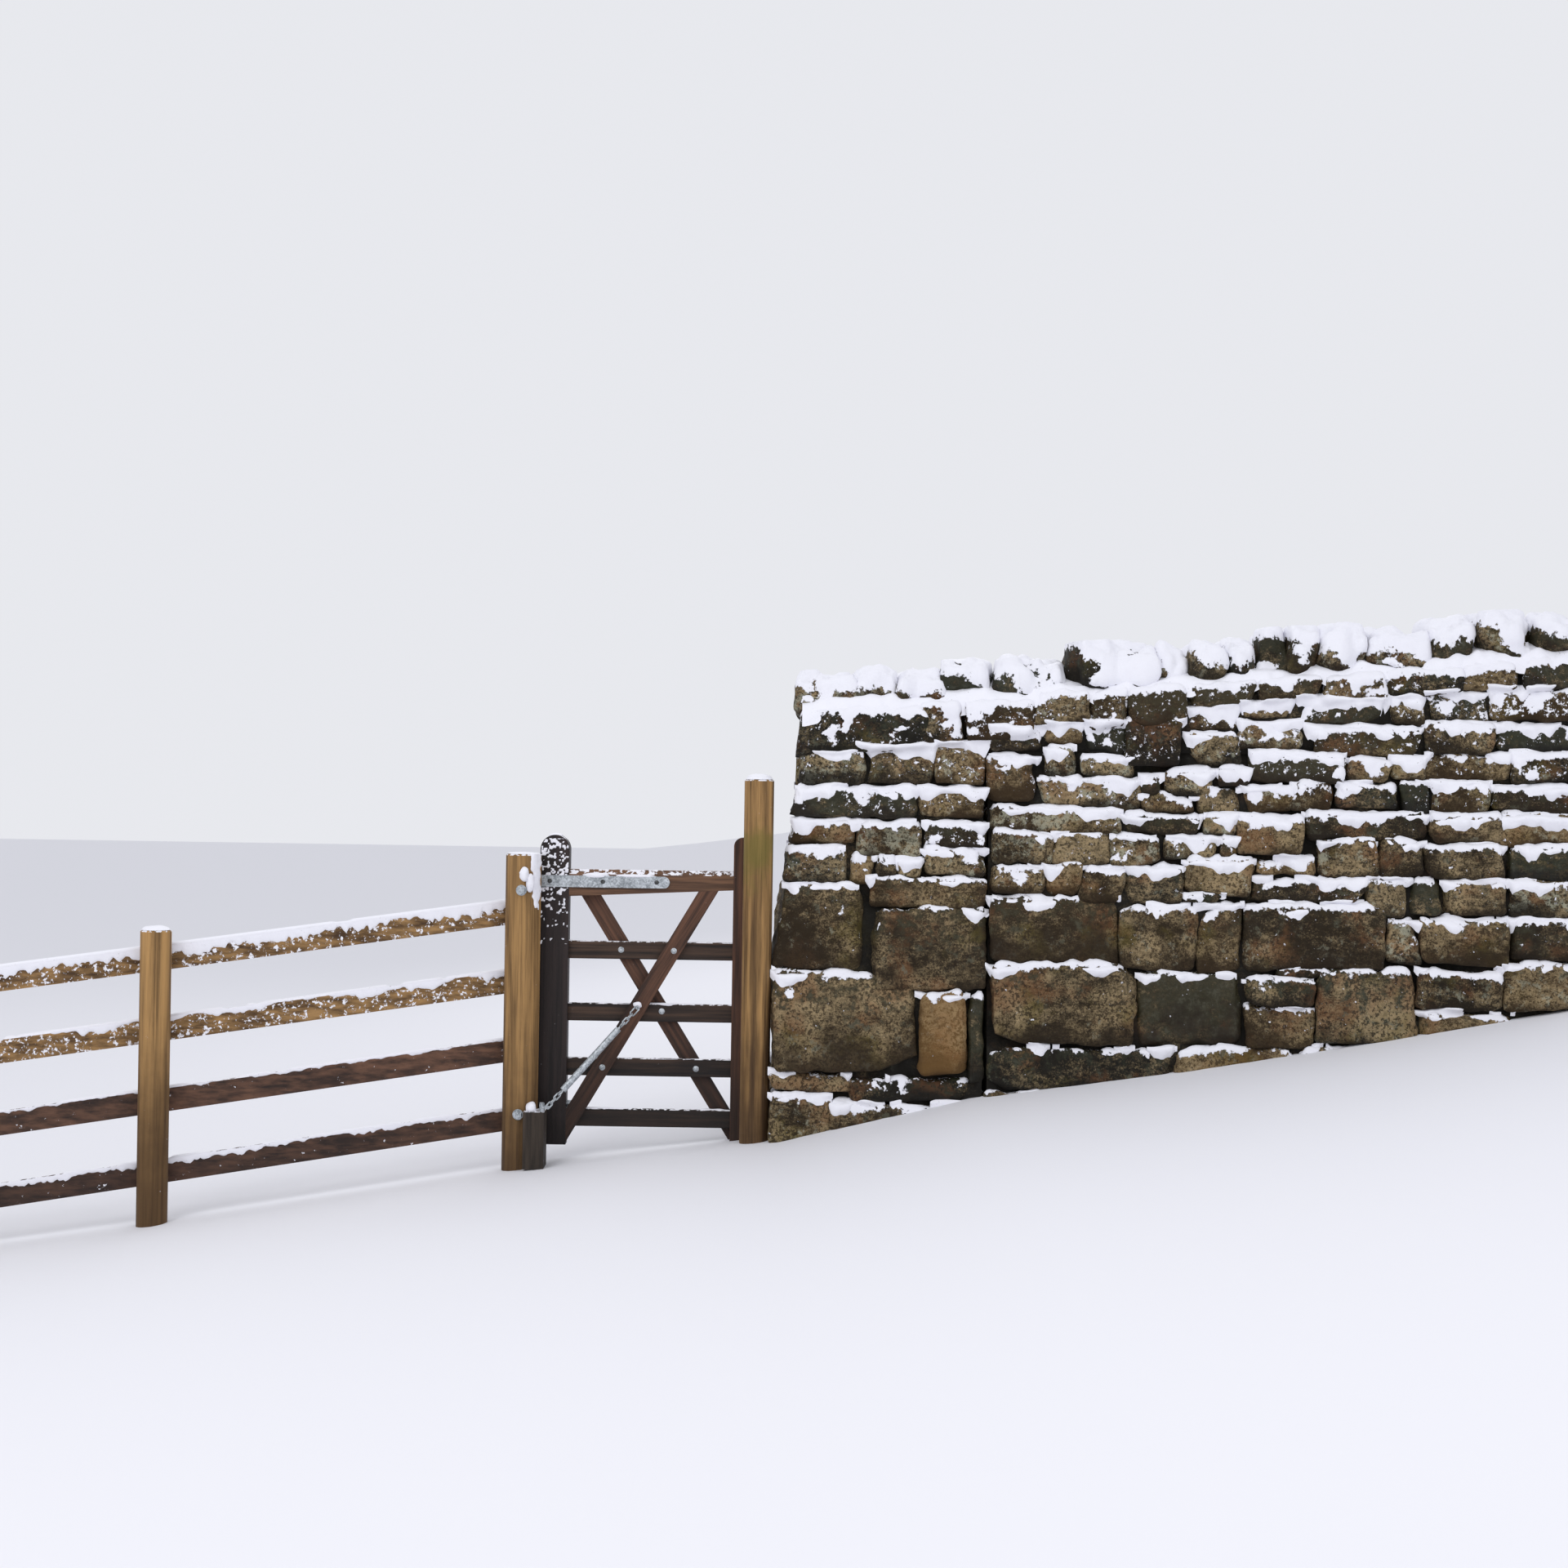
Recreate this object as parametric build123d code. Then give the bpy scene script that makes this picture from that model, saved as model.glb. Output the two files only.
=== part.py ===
from build123d import *
from math import atan2, copysign, cos, pi, radians, sin, sqrt
import os

# A hand gate in the end of a dry-stone wall, with the fence that runs on from it.
# Sizes are in millimetres. X runs along the wall, Y through it, away from the path, and Z up.
# The origin is the foot of the hanging post, level with the lowest ground under the fence.

# Clearances
seat_gap = 0.3            # between pieces that bear on each other
pin_gap = 0.3             # round hinge pins and rods
joint_gap = 0.5           # between neighbouring stones
gate_gap = 10.0           # from the gate's face to the back of the shutting post

# Gate posts
hanging_post_diameter = 150.0
hanging_post_height = 1721.0
rail_below_post = 67.0      # top of the gate's top rail below the top of the hanging post
shutting_post_diameter = 125.0
shutting_post_height = 2051.0
post_past_gate = 30.0     # from the gate's shutting edge to the middle of the post
post_top_chamfer = 8.0

# Gate frame
pin_stand_off = 35.0      # from the back of the hanging post to the middle of the hinge pin
heel_offset = 62.0        # from the hinge pin to the heel edge of the gate
gate_width = 901.0
heel_stile_width = 125.0
shutting_stile_width = 75.0
stile_thickness = 75.0
stile_height = 1322.0
stile_above_rail = 146.0   # top of the stiles above the top rail
top_rail_heel_depth = 115.0
top_rail_end_depth = 80.0
top_rail_chamfer = 20.0
rail_thickness = 30.0
rail_depth = 76.0
rail_drop_shares = [0.2315, 0.4327, 0.6097, 0.7738]  # rail tops below the top rail, as shares of the stile
rail_chamfer = 3.0
brace_width = 72.0
brace_thickness = 22.0
brace_foot_rise = 80.0    # middle of each brace above the gate's foot, at the stile
front_brace_reach = 595.0  # along the top rail from the heel stile to the middle of the brace head
back_brace_reach = 89.0

# Hinges
pin_diameter = 19.0
eye_diameter = 38.0
strap_depth = 50.0
strap_thickness = 6.0
strap_length = 616.0      # from the hinge pin to the rounded end
strap_drop = 26.0         # from the top of the top rail down to the top of the strap
strap_bend_start = 8.0    # how far past the heel edge the straps begin to close on the eye
eye_bolt_depth = 30.0
eye_bolt_rise = 19.0      # middle of the lower eye above the bottom rail
hook_gap = 0.5            # between the hook's bar and the eye that rests on it
hook_rise = 12.0          # pin showing above the eye
hook_thread = 25.0        # bolt end past the post's face
nut_across = 30.0
nut_thickness = 15.0
washer_diameter = 45.0
washer_thickness = 4.0

# Self-closing spring
block_left = 26.0         # from the middle of the hanging post, clear of the lower hook's washer
block_width = 88.0
block_depth = 62.0
block_height = 240.0
block_above_hook = 16.0   # top of the block above the middle of the lower hook
swivel_right = 102.0      # swivel pin from the middle of the post, along the wall
swivel_front = 88.0       # and out in front of it
swivel_pin_diameter = 10.0
swivel_collar_diameter = 22.0
swivel_collar_height = 28.0
swivel_reach = 24.0       # from the swivel pin to the fork's cross pin
swivel_lift = 4.0         # underside of the collar above the block
swivel_head_thickness = 5.0
fork_height = 13.0
fork_slot = 9.0
fork_cheek = 4.0
closer_peg_drop = 15.0    # peg below the top of the middle rail
closer_peg_out = 25.0     # where the chain pulls on the peg, in front of the brace
closer_peg_bend = 27.0    # bend of the peg, in front of the brace
closer_peg_tip = 5.2      # length of its leaning tip
closer_tip_aside = 0.55   # how far the tip leans to the left and up, for each mm outward
closer_tip_rise = 0.60
closer_peg_diameter = 6.0
closer_peg_play = 1.8     # between the peg and the long link round it
closer_peg_bite = 27.0    # depth of its threaded end in the rail
closer_nut_across = 16.0
closer_nut_thickness = 6.0
eye_inside_radius = 10.0
chain_wire = 6.0
link_inside_length = 26.0
link_inside_width = 10.0
end_link_inside_length = 40.0  # the long last link, which hooks over the peg
end_link_inside_width = 14.0
chain_play = 0.9
lower_links = 3
upper_links = 2           # and the long one
loop_sides = 12           # flats round a link or an eye
tube_diameter = 28.0
tube_bore = 22.0
tube_cap = 14.0
rod_diameter = 10.0
rod_showing = 10.0
piston_length = 12.0
piston_gap = 0.4

# Fence of two bays
fence_angle = 13.2        # turned towards the path from the line of the wall
fence_slope = 0.133       # fall of the rails for each unit along
fence_bay = 1500.0
fence_bays = 2
fence_post_diameter = 125.0
fence_post_above_rail = 80.0
fence_rail_depth = 95.0
fence_rail_thickness = 38.0
fence_rail_pitch = 293.0
fence_rail_count = 4
fence_rail_drop = 205.0   # top edge of the top rail below the top of the hanging post
fence_rail_overhang = 60.0
fence_notch = 4.0

# Wall
wall_length = 3444.0
wall_thickness = 750.0    # at the datum height
wall_datum_z = 533.0
wall_front_y = -100.0     # front face at the datum height
wall_batter_ratio = 12.0  # rise for each unit that a face leans in
head_shoulder_z = 1200.0  # the head stands upright to here and leans in above
head_batter_ratio = 8.7
ground_at_head = 525.0
ground_slope = 0.187
footing_bury = 60.0       # footing below the ground
footing_step = 40.0       # footing wider than the wall on each face
straight_joint = 904.0    # from the head to the joint between the two builds
boulder_top_z = 1600.0
boulder_proud = 15.0
boulder_chamfer = 30.0
cope_base_z = 2312.0      # at the head
cope_slope = 0.09
cope_height = 240.0
head_cope_height = 205.0
cope_width = 440.0
cope_side_round = 154.0
cope_corner_cut = 50.0
cope_corner_ratio = 0.3   # most of a narrow stone's length that one corner takes
cope_overhang = 30.0
cover_depth = 105.0
cover_proud = 25.0
cover_chamfer = 15.0

# Where the stones of each row end, as shares of the row's length, with the level of the row's top
head_rows = [(825.0, [0.364, 0.712, 1.0]), (1243.0, [0.699, 1.0]), (boulder_top_z, [0.421, 1.0])]
run_rows = [
    (996.0, [0.312, 0.549]),
    (1301.0, [0.250, 0.549, 0.711, 0.862, 1.0]),
    (boulder_top_z, [0.221, 0.350, 0.433, 0.672, 0.823, 1.0]),
]
cover_ends = [0.174, 0.232, 0.311, 0.413, 0.518, 0.588, 0.654, 0.814, 0.907, 1.0]
cope_ends = [0.100, 0.153, 0.208, 0.271, 0.360, 0.397, 0.476, 0.527, 0.586, 0.636, 0.676, 0.741, 0.830, 0.913, 1.0]
head_cope_count = 4

# Worked-out places
hanging_radius = hanging_post_diameter / 2
shutting_radius = shutting_post_diameter / 2
pin_y = hanging_radius + pin_stand_off
top_rail_z = hanging_post_height - rail_below_post
stile_foot_z = top_rail_z + stile_above_rail - stile_height
gate_near_y = pin_y - stile_thickness / 2
gate_far_y = pin_y + stile_thickness / 2
gate_end_x = heel_offset + gate_width
panel_left = heel_offset + heel_stile_width
panel_right = gate_end_x - shutting_stile_width
rail_near_y = pin_y - rail_thickness / 2
rail_far_y = pin_y + rail_thickness / 2
shutting_x = gate_end_x + post_past_gate
shutting_y = gate_near_y - gate_gap - shutting_radius
strap_top_z = top_rail_z - strap_drop
strap_base_z = strap_top_z - strap_depth
rail_tops = [top_rail_z - share * stile_height for share in rail_drop_shares]
lower_eye_z = rail_tops[-1] + eye_bolt_rise
wall_head_x = shutting_x + shutting_radius + seat_gap
wall_end_x = wall_head_x + wall_length
joint_x = wall_head_x + straight_joint


def elevation_slab(outline, y_near, y_far):
    """A plate with its outline in X and Z, between two values of Y."""
    face = Plane.XZ.offset(-y_far) * Polygon(*outline, align=None)
    return extrude(face, y_far - y_near, dir=(0, -1, 0))


def upright_cylinder(x, y, z, diameter, height):
    foot = (Align.CENTER, Align.CENTER, Align.MIN)
    return Pos(x, y, z) * Cylinder(diameter / 2, height, align=foot)


def cross_cylinder(x, z, diameter, y_near, y_far):
    """A bar that runs along Y."""
    foot = (Align.CENTER, Align.CENTER, Align.MIN)
    return Pos(x, y_far, z) * Rot(90, 0, 0) * Cylinder(diameter / 2, y_far - y_near, align=foot)


def round_post(x, y, diameter, height):
    post = upright_cylinder(x, y, 0, diameter, height)
    rim = post.edges().filter_by(GeomType.CIRCLE).sort_by(Axis.Z)[-1]
    return chamfer(rim, post_top_chamfer)


# Gate

def top_rail_underside(x):
    share = (x - panel_left) / (panel_right - panel_left)
    return top_rail_z - top_rail_heel_depth + share * (top_rail_heel_depth - top_rail_end_depth)


def make_stile(left, width):
    """An upright of the gate with a half-round head."""
    top = stile_foot_z + stile_height
    shoulder = top - width / 2
    body = elevation_slab(
        [(left, stile_foot_z), (left + width, stile_foot_z), (left + width, shoulder), (left, shoulder)],
        gate_near_y, gate_far_y)
    return body + cross_cylinder(left + width / 2, shoulder, width, gate_near_y, gate_far_y)


def make_heel_stile():
    bolt_hole = lower_eye_shank(pin_diameter + 2 * pin_gap)
    return make_stile(heel_offset, heel_stile_width) - bolt_hole


def make_shutting_stile():
    return make_stile(panel_right, shutting_stile_width)


def make_top_rail():
    rail = elevation_slab(
        [(panel_left, top_rail_underside(panel_left)), (panel_right, top_rail_underside(panel_right)),
         (panel_right, top_rail_z), (panel_left, top_rail_z)], gate_near_y, gate_far_y)
    arrises = rail.edges().filter_by(Axis.X).group_by(Axis.Z)[-1]
    return chamfer(arrises, top_rail_chamfer)


def make_rail(index):
    top = rail_tops[index]
    bottom = top - rail_depth
    rail = elevation_slab([(panel_left, bottom), (panel_right, bottom), (panel_right, top), (panel_left, top)],
                          rail_near_y, rail_far_y)
    return chamfer(rail.edges().filter_by(Axis.X), rail_chamfer)


def make_brace(foot_x, head_x, y_near, y_far):
    """A strip on the slant, cut to the inside of the gate frame."""
    foot = Vector(foot_x, stile_foot_z + brace_foot_rise)
    head = Vector(head_x, top_rail_underside(head_x))
    along = (head - foot).normalized()
    side = Vector(-along.Y, along.X) * brace_width / 2
    past = along * 2 * brace_width
    corners = [foot - past - side, head + past - side, head + past + side, foot - past + side]
    strip = elevation_slab([(corner.X, corner.Y) for corner in corners], y_near, y_far)
    frame_inside = elevation_slab(
        [(panel_left, stile_foot_z), (panel_right, stile_foot_z), (panel_right, top_rail_underside(panel_right)),
         (panel_left, top_rail_underside(panel_left))], y_near, y_far)
    return strip & frame_inside


front_brace_head_x = panel_left + front_brace_reach
back_brace_head_x = panel_left + back_brace_reach
closer_peg_z = rail_tops[1] - closer_peg_drop
brace_foot_z = stile_foot_z + brace_foot_rise
front_brace_run = front_brace_reach / (top_rail_underside(front_brace_head_x) - brace_foot_z)
closer_peg_x = panel_left + (closer_peg_z - brace_foot_z) * front_brace_run
brace_near_y = rail_near_y - brace_thickness
closer_pull_y = brace_near_y - closer_peg_out


def closer_peg_hole():
    bore = closer_peg_diameter + 2 * pin_gap
    return cross_cylinder(closer_peg_x, closer_peg_z, bore, brace_near_y, rail_near_y + closer_peg_bite)


def make_front_brace():
    return make_brace(panel_left, front_brace_head_x, brace_near_y, rail_near_y) - closer_peg_hole()


def make_back_brace():
    return make_brace(panel_right, back_brace_head_x, rail_far_y, rail_far_y + brace_thickness)


# Hinges

def make_top_strap():
    """Two straps that close on one eye, seen from above, cut to a round-ended bar seen from the front."""
    near_y = gate_near_y - strap_thickness
    bend_x = heel_offset - strap_bend_start
    eye = Pos(0, pin_y) * Circle(eye_diameter / 2)
    pin_hole = Pos(0, pin_y) * Circle(pin_diameter / 2 + pin_gap)
    arms = []
    for side in (-1, 1):
        inner = side * stile_thickness / 2
        outer = side * (stile_thickness / 2 + strap_thickness)
        root = side * (eye_diameter / 2 - strap_thickness)
        crown = side * eye_diameter / 2
        outline = [(strap_length, pin_y + outer), (bend_x, pin_y + outer), (0, pin_y + crown),
                   (0, pin_y + root), (bend_x, pin_y + inner), (strap_length, pin_y + inner)]
        arms.append(make_face(Polyline(*outline, close=True)))
    plan = eye + arms[0] + arms[1] - pin_hole
    straps = extrude(Plane.XY.offset(strap_base_z) * plan, strap_depth)
    end_x = strap_length - strap_depth / 2
    left = -eye_diameter / 2
    far_y = near_y + stile_thickness + 2 * strap_thickness
    bar = elevation_slab([(left, strap_base_z), (end_x, strap_base_z), (end_x, strap_top_z), (left, strap_top_z)],
                         near_y, far_y)
    bar += cross_cylinder(end_x, strap_base_z + strap_depth / 2, strap_depth, near_y, far_y)
    return straps & bar


def lower_eye_shank(diameter):
    start = eye_diameter / 2 - strap_thickness
    length = panel_left + nut_thickness + washer_thickness - start
    foot = (Align.CENTER, Align.CENTER, Align.MIN)
    return Pos(start, pin_y, lower_eye_z) * Rot(0, 90, 0) * Cylinder(diameter / 2, length, align=foot)


def make_lower_eye_bolt():
    """An eye bolt through the heel stile, with its nut and washer on the inner face."""
    base = lower_eye_z - eye_bolt_depth / 2
    eye = upright_cylinder(0, pin_y, base, eye_diameter, eye_bolt_depth)
    eye += lower_eye_shank(pin_diameter)
    eye -= upright_cylinder(0, pin_y, base, pin_diameter + 2 * pin_gap, eye_bolt_depth)
    washer = Plane.YZ.offset(panel_left) * Pos(pin_y, lower_eye_z) * Circle(rail_thickness / 2)
    nut = Plane.YZ.offset(panel_left + washer_thickness) * Pos(pin_y, lower_eye_z) * RegularPolygon(
        rail_thickness / 2 - seat_gap, 6)
    return eye + extrude(washer, washer_thickness) + extrude(nut, nut_thickness)


def hook_bar_z(eye_base_z):
    return eye_base_z - hook_gap - pin_diameter / 2


def make_hook(eye_base_z, eye_height):
    """A bolt through the hanging post, with the hinge pin standing on its far end."""
    bar_z = hook_bar_z(eye_base_z)
    face_y = -hanging_radius
    nut_face_y = face_y - washer_thickness
    pin_height = pin_diameter + hook_gap + eye_height + hook_rise
    hook = cross_cylinder(0, bar_z, pin_diameter, face_y - hook_thread, pin_y)
    hook += upright_cylinder(0, pin_y, bar_z - pin_diameter / 2, pin_diameter, pin_height)
    washer = cross_cylinder(0, bar_z, washer_diameter, nut_face_y, face_y)
    nut_plane = Plane((0, nut_face_y, bar_z), z_dir=(0, -1, 0))
    nut = extrude(nut_plane * RegularPolygon(nut_across / 2, 6, major_radius=False), nut_thickness)
    return hook + washer + nut


def hook_hole(eye_base_z):
    bore = pin_diameter + 2 * pin_gap
    return cross_cylinder(0, hook_bar_z(eye_base_z), bore, -hanging_post_diameter, hanging_post_diameter)


lower_eye_base_z = lower_eye_z - eye_bolt_depth / 2


# Self-closing spring, on one straight line from its swivel to the peg on the gate

block_top_z = hook_bar_z(lower_eye_base_z) + block_above_hook
swivel_x = swivel_right
swivel_y = -swivel_front
swivel_z = block_top_z + swivel_lift + swivel_collar_height / 2
plan_angle = atan2(closer_pull_y - swivel_y, closer_peg_x - swivel_x)
closer_out = Vector(cos(plan_angle), sin(plan_angle), 0)
closer_across = Vector(-sin(plan_angle), cos(plan_angle), 0)
cross_pin = Vector(swivel_x, swivel_y, swivel_z) + closer_out * swivel_reach
closer_pull = Vector(closer_peg_x, closer_pull_y, closer_peg_z)
closer_line = (closer_pull - cross_pin).normalized()
line_length = (closer_pull - cross_pin).length
wire_radius = chain_wire / 2
eye_radius = eye_inside_radius + wire_radius
link_pitch = link_inside_length - chain_play

# Distances on the line from the cross pin
pull_to_middle = link_inside_length / 2 - wire_radius - chain_play
foot_eye_at = 2 * pull_to_middle + (lower_links - 1) * link_pitch + eye_radius
tube_start = foot_eye_at + eye_radius
end_link_at = line_length - end_link_inside_length / 2 + closer_peg_diameter / 2 + closer_peg_play
last_link_at = end_link_at - (link_inside_length + end_link_inside_length) / 2 + chain_play
first_upper_link_at = last_link_at - (upper_links - 1) * link_pitch
head_eye_at = first_upper_link_at - pull_to_middle - eye_radius
rod_end = head_eye_at - eye_radius
tube_end = rod_end - rod_showing


def line_plane(distance, width_direction):
    """A plane on the spring's line, its X along the line and its Y along the given direction."""
    origin = cross_pin + closer_line * distance
    return Plane(origin, x_dir=closer_line, z_dir=closer_line.cross(width_direction))


def loop_outline(radius, straight):
    """A flat-sided outline in X and Y: two half-rounds with a straight part between them."""
    corner_radius = radius / cos(pi / loop_sides)
    points = []
    for side in range(loop_sides):
        angle = 2 * pi * (side + 0.5) / loop_sides
        along = corner_radius * cos(angle)
        points.append((along + copysign(straight / 2, along), corner_radius * sin(angle)))
    return Polygon(*points, align=None)


def wire_loop(inside_radius, straight=0.0):
    """A loop of eight-sided wire, flat in X and Y."""
    ring = loop_outline(inside_radius + chain_wire, straight) - loop_outline(inside_radius, straight)
    loop = extrude(ring, wire_radius, both=True)
    corner = wire_radius * (2 - sqrt(2))
    return chamfer(loop.faces().filter_by(Axis.Z).edges(), corner)


def link_on_line(distance, number, inside_length, inside_width):
    """A link turned a quarter from the one before it, the first one upright."""
    upright = closer_line.cross(closer_across)
    width = closer_across if number % 2 else upright
    return line_plane(distance, width) * wire_loop(inside_width / 2, inside_length - inside_width)


def links_on_line(first, count):
    links = []
    for number in range(count):
        links.append(link_on_line(first + number * link_pitch, number, link_inside_length, link_inside_width))
    return links


def eye_on_line(distance):
    """An eye with its middle at a distance on the line."""
    return line_plane(distance, closer_across) * wire_loop(eye_inside_radius)


def bar_on_line(start, end, diameter):
    foot = (Align.CENTER, Align.CENTER, Align.MIN)
    plane = Plane(cross_pin + closer_line * start, z_dir=closer_line)
    return plane * Cylinder(diameter / 2, end - start, align=foot)


def make_closer_block():
    """A short timber block, scribed to the round of the post."""
    left, right = block_left, block_left + block_width
    top, bottom = block_top_z, block_top_z - block_height
    near = swivel_y - block_depth / 2
    block = elevation_slab([(left, bottom), (right, bottom), (right, top), (left, top)], near, 0)
    post = upright_cylinder(0, 0, 0, hanging_post_diameter + 2 * seat_gap, hanging_post_height)
    block = block - post
    return block.solids().sort_by(Axis.Y)[0]


def hexagon_head(z, height):
    foot = Plane.XY.offset(z) * Pos(swivel_x, swivel_y)
    return extrude(foot * RegularPolygon(swivel_pin_diameter, 6), height)


def make_swivel_pin():
    """An upright bolt with a nut under the collar and a head over it."""
    head_z = block_top_z + swivel_lift + swivel_collar_height + pin_gap
    pin = upright_cylinder(swivel_x, swivel_y, block_top_z, swivel_pin_diameter, head_z - block_top_z)
    return pin + hexagon_head(block_top_z, swivel_lift - pin_gap) + hexagon_head(head_z, swivel_head_thickness)


def make_swivel():
    """A collar on the swivel pin, with a fork and a cross pin for the first link of the chain."""
    base = block_top_z + swivel_lift
    fork_width = fork_slot + 2 * fork_cheek
    fork_plane = Plane((swivel_x, swivel_y, swivel_z), x_dir=closer_out, z_dir=(0, 0, 1))
    inner = (Align.MIN, Align.CENTER, Align.CENTER)
    fork = Box(swivel_reach, fork_width, fork_height, align=inner)
    fork += Pos(swivel_reach, 0, 0) * Rot(90, 0, 0) * Cylinder(fork_height / 2, fork_width)
    slot_start = swivel_collar_diameter / 2
    fork -= Pos(slot_start, 0, 0) * Box(swivel_reach + fork_height, fork_slot, fork_height, align=inner)
    fork += Pos(swivel_reach, 0, 0) * Rot(90, 0, 0) * Cylinder(wire_radius, fork_width + fork_cheek)
    swivel = upright_cylinder(swivel_x, swivel_y, base, swivel_collar_diameter, swivel_collar_height)
    swivel += fork_plane * fork
    bore = swivel_pin_diameter + 2 * pin_gap
    return swivel - upright_cylinder(swivel_x, swivel_y, base, bore, swivel_collar_height)


def make_lower_chain():
    return links_on_line(pull_to_middle, lower_links)


def make_tube():
    """A closed tube with an eye on its foot and a gland for the rod in its head."""
    tube = bar_on_line(tube_start, tube_end, tube_diameter)
    tube -= bar_on_line(tube_start + tube_cap, tube_end - tube_cap, tube_bore)
    tube -= bar_on_line(tube_start + tube_cap, tube_end, rod_diameter + 2 * pin_gap)
    return tube + eye_on_line(foot_eye_at)


def make_rod():
    """The rod, with its piston at the foot of the tube and an eye on its head."""
    piston_start = tube_start + tube_cap + piston_gap
    rod = bar_on_line(piston_start, rod_end, rod_diameter)
    rod += bar_on_line(piston_start, piston_start + piston_length, tube_bore - 2 * piston_gap)
    return rod + eye_on_line(head_eye_at)


def make_upper_chain():
    """Short links, then the long one that the peg holds."""
    end_link = link_on_line(end_link_at, upper_links, end_link_inside_length, end_link_inside_width)
    return links_on_line(first_upper_link_at, upper_links) + [end_link]


def make_closer_peg():
    """A bent peg through the brace into the middle rail, with a nut against the brace."""
    bend = Vector(closer_peg_x, brace_near_y - closer_peg_bend, closer_peg_z)
    peg = cross_cylinder(closer_peg_x, closer_peg_z, closer_peg_diameter, bend.Y, rail_near_y + closer_peg_bite)
    tip_plane = Plane(bend, z_dir=(-closer_tip_aside, -1, closer_tip_rise))
    foot = (Align.CENTER, Align.CENTER, Align.MIN)
    peg += tip_plane * Cylinder(closer_peg_diameter / 2, closer_peg_tip, align=foot)
    peg += tip_plane * Sphere(closer_peg_diameter / 2)
    nut_plane = Plane((closer_peg_x, brace_near_y, closer_peg_z), z_dir=(0, -1, 0))
    nut = RegularPolygon(closer_nut_across / 2, 6, major_radius=False)
    return peg + extrude(nut_plane * nut, closer_nut_thickness)


# Fence

fence_direction = Vector(-cos(radians(fence_angle)), -sin(radians(fence_angle)), 0)
fence_far_side = Vector(-sin(radians(fence_angle)), cos(radians(fence_angle)), 0)
fence_plane = Plane((0, 0, 0), x_dir=fence_direction, z_dir=fence_far_side)
fence_length = fence_bays * fence_bay
rail_seat = fence_post_diameter / 2 - fence_notch


def fence_rail_level(number, along):
    return hanging_post_height - fence_rail_drop - number * fence_rail_pitch - fence_slope * along


def make_fence_rail(number, play=0.0):
    """A sloping rail on the far side of the posts."""
    end = fence_length + fence_rail_overhang
    outline = []
    for along, drop in ((0, 0), (end, 0), (end, fence_rail_depth), (0, fence_rail_depth)):
        outline.append((along, fence_rail_level(number, along) - drop))
    face = Polygon(*outline, align=None)
    if play:
        face = offset(face, play)
    seat = fence_plane.offset(hanging_radius - fence_notch)
    return extrude(seat * face, fence_rail_thickness, dir=fence_far_side)


def cut_fence_seats(post):
    """Flats on the far side of a post, one for each rail."""
    for number in range(fence_rail_count):
        post -= make_fence_rail(number, seat_gap)
    return post


def make_fence_post(bay):
    along = bay * fence_bay
    height = fence_rail_level(0, along) + fence_post_above_rail
    place = fence_direction * along + fence_far_side * (hanging_radius - fence_post_diameter / 2)
    return cut_fence_seats(round_post(place.X, place.Y, fence_post_diameter, height))


def make_hanging_post():
    post = round_post(0, 0, hanging_post_diameter, hanging_post_height)
    post -= hook_hole(strap_base_z)
    post -= hook_hole(lower_eye_base_z)
    return cut_fence_seats(post)


# Wall

def wall_near_y(z):
    return wall_front_y + (z - wall_datum_z) / wall_batter_ratio


def wall_far_y(z):
    return wall_front_y + wall_thickness - (z - wall_datum_z) / wall_batter_ratio


def head_line(z):
    return wall_head_x + max(0.0, z - head_shoulder_z) / head_batter_ratio


def ground_level(x):
    return ground_at_head + ground_slope * (x - wall_head_x)


def footing_top(x):
    return ground_level(x) - footing_bury


def cope_base(x):
    return cope_base_z + cope_slope * (x - wall_head_x)


def cover_base(x):
    return cope_base(x) - cover_depth


def head_meets_cover():
    """Where the leaning head meets the underside of the cover stones."""
    slope = cope_slope / head_batter_ratio
    z = (cover_base(wall_head_x) - slope * head_shoulder_z) / (1 - slope)
    return head_line(z), z


def battered(outline, proud=0.0):
    """Walling with its outline in X and Z, cut to the two leaning faces."""
    top = max(z for x, z in outline)
    section = Polygon(
        (wall_near_y(0) - proud, 0), (wall_far_y(0) + proud, 0),
        (wall_far_y(top) + proud, top), (wall_near_y(top) - proud, top), align=None)
    prism = extrude(Plane.YZ.offset(wall_head_x - wall_thickness) * section, wall_length + 2 * wall_thickness)
    return elevation_slab(outline, -2 * wall_thickness, 2 * wall_thickness) & prism


def face_edges(stone):
    faces = stone.faces().sort_by(Axis.Y)
    return faces[0].edges() + faces[-1].edges()


def lay_stone(outline, proud, edge_chamfer):
    stone = battered(outline, proud)
    return chamfer(face_edges(stone), edge_chamfer)


def stone_ends(rows, start_x, end_x):
    """Rows of stones, with the places on the wall where the stones end."""
    return [(level, [start_x + share * (end_x - start_x) for share in shares]) for level, shares in rows]


def footing_starts():
    """Where the level steps of the footing start, each under the end of a stone."""
    (_, lowest), (_, second) = stone_ends(run_rows, joint_x, wall_end_x)[:2]
    return [wall_head_x, joint_x] + lowest + [end for end in second if lowest[-1] < end < wall_end_x]


def make_footing():
    """A level stepped footing that follows the ground down the slope."""
    near = wall_near_y(ground_at_head) - footing_step
    far = wall_far_y(ground_at_head) + footing_step
    starts = footing_starts()
    outline = [(wall_head_x, 0)]
    for start, end in zip(starts, starts[1:] + [wall_end_x]):
        outline += [(start, footing_top(start)), (end, footing_top(start))]
    outline.append((wall_end_x, 0))
    return elevation_slab(outline, near, far)


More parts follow.
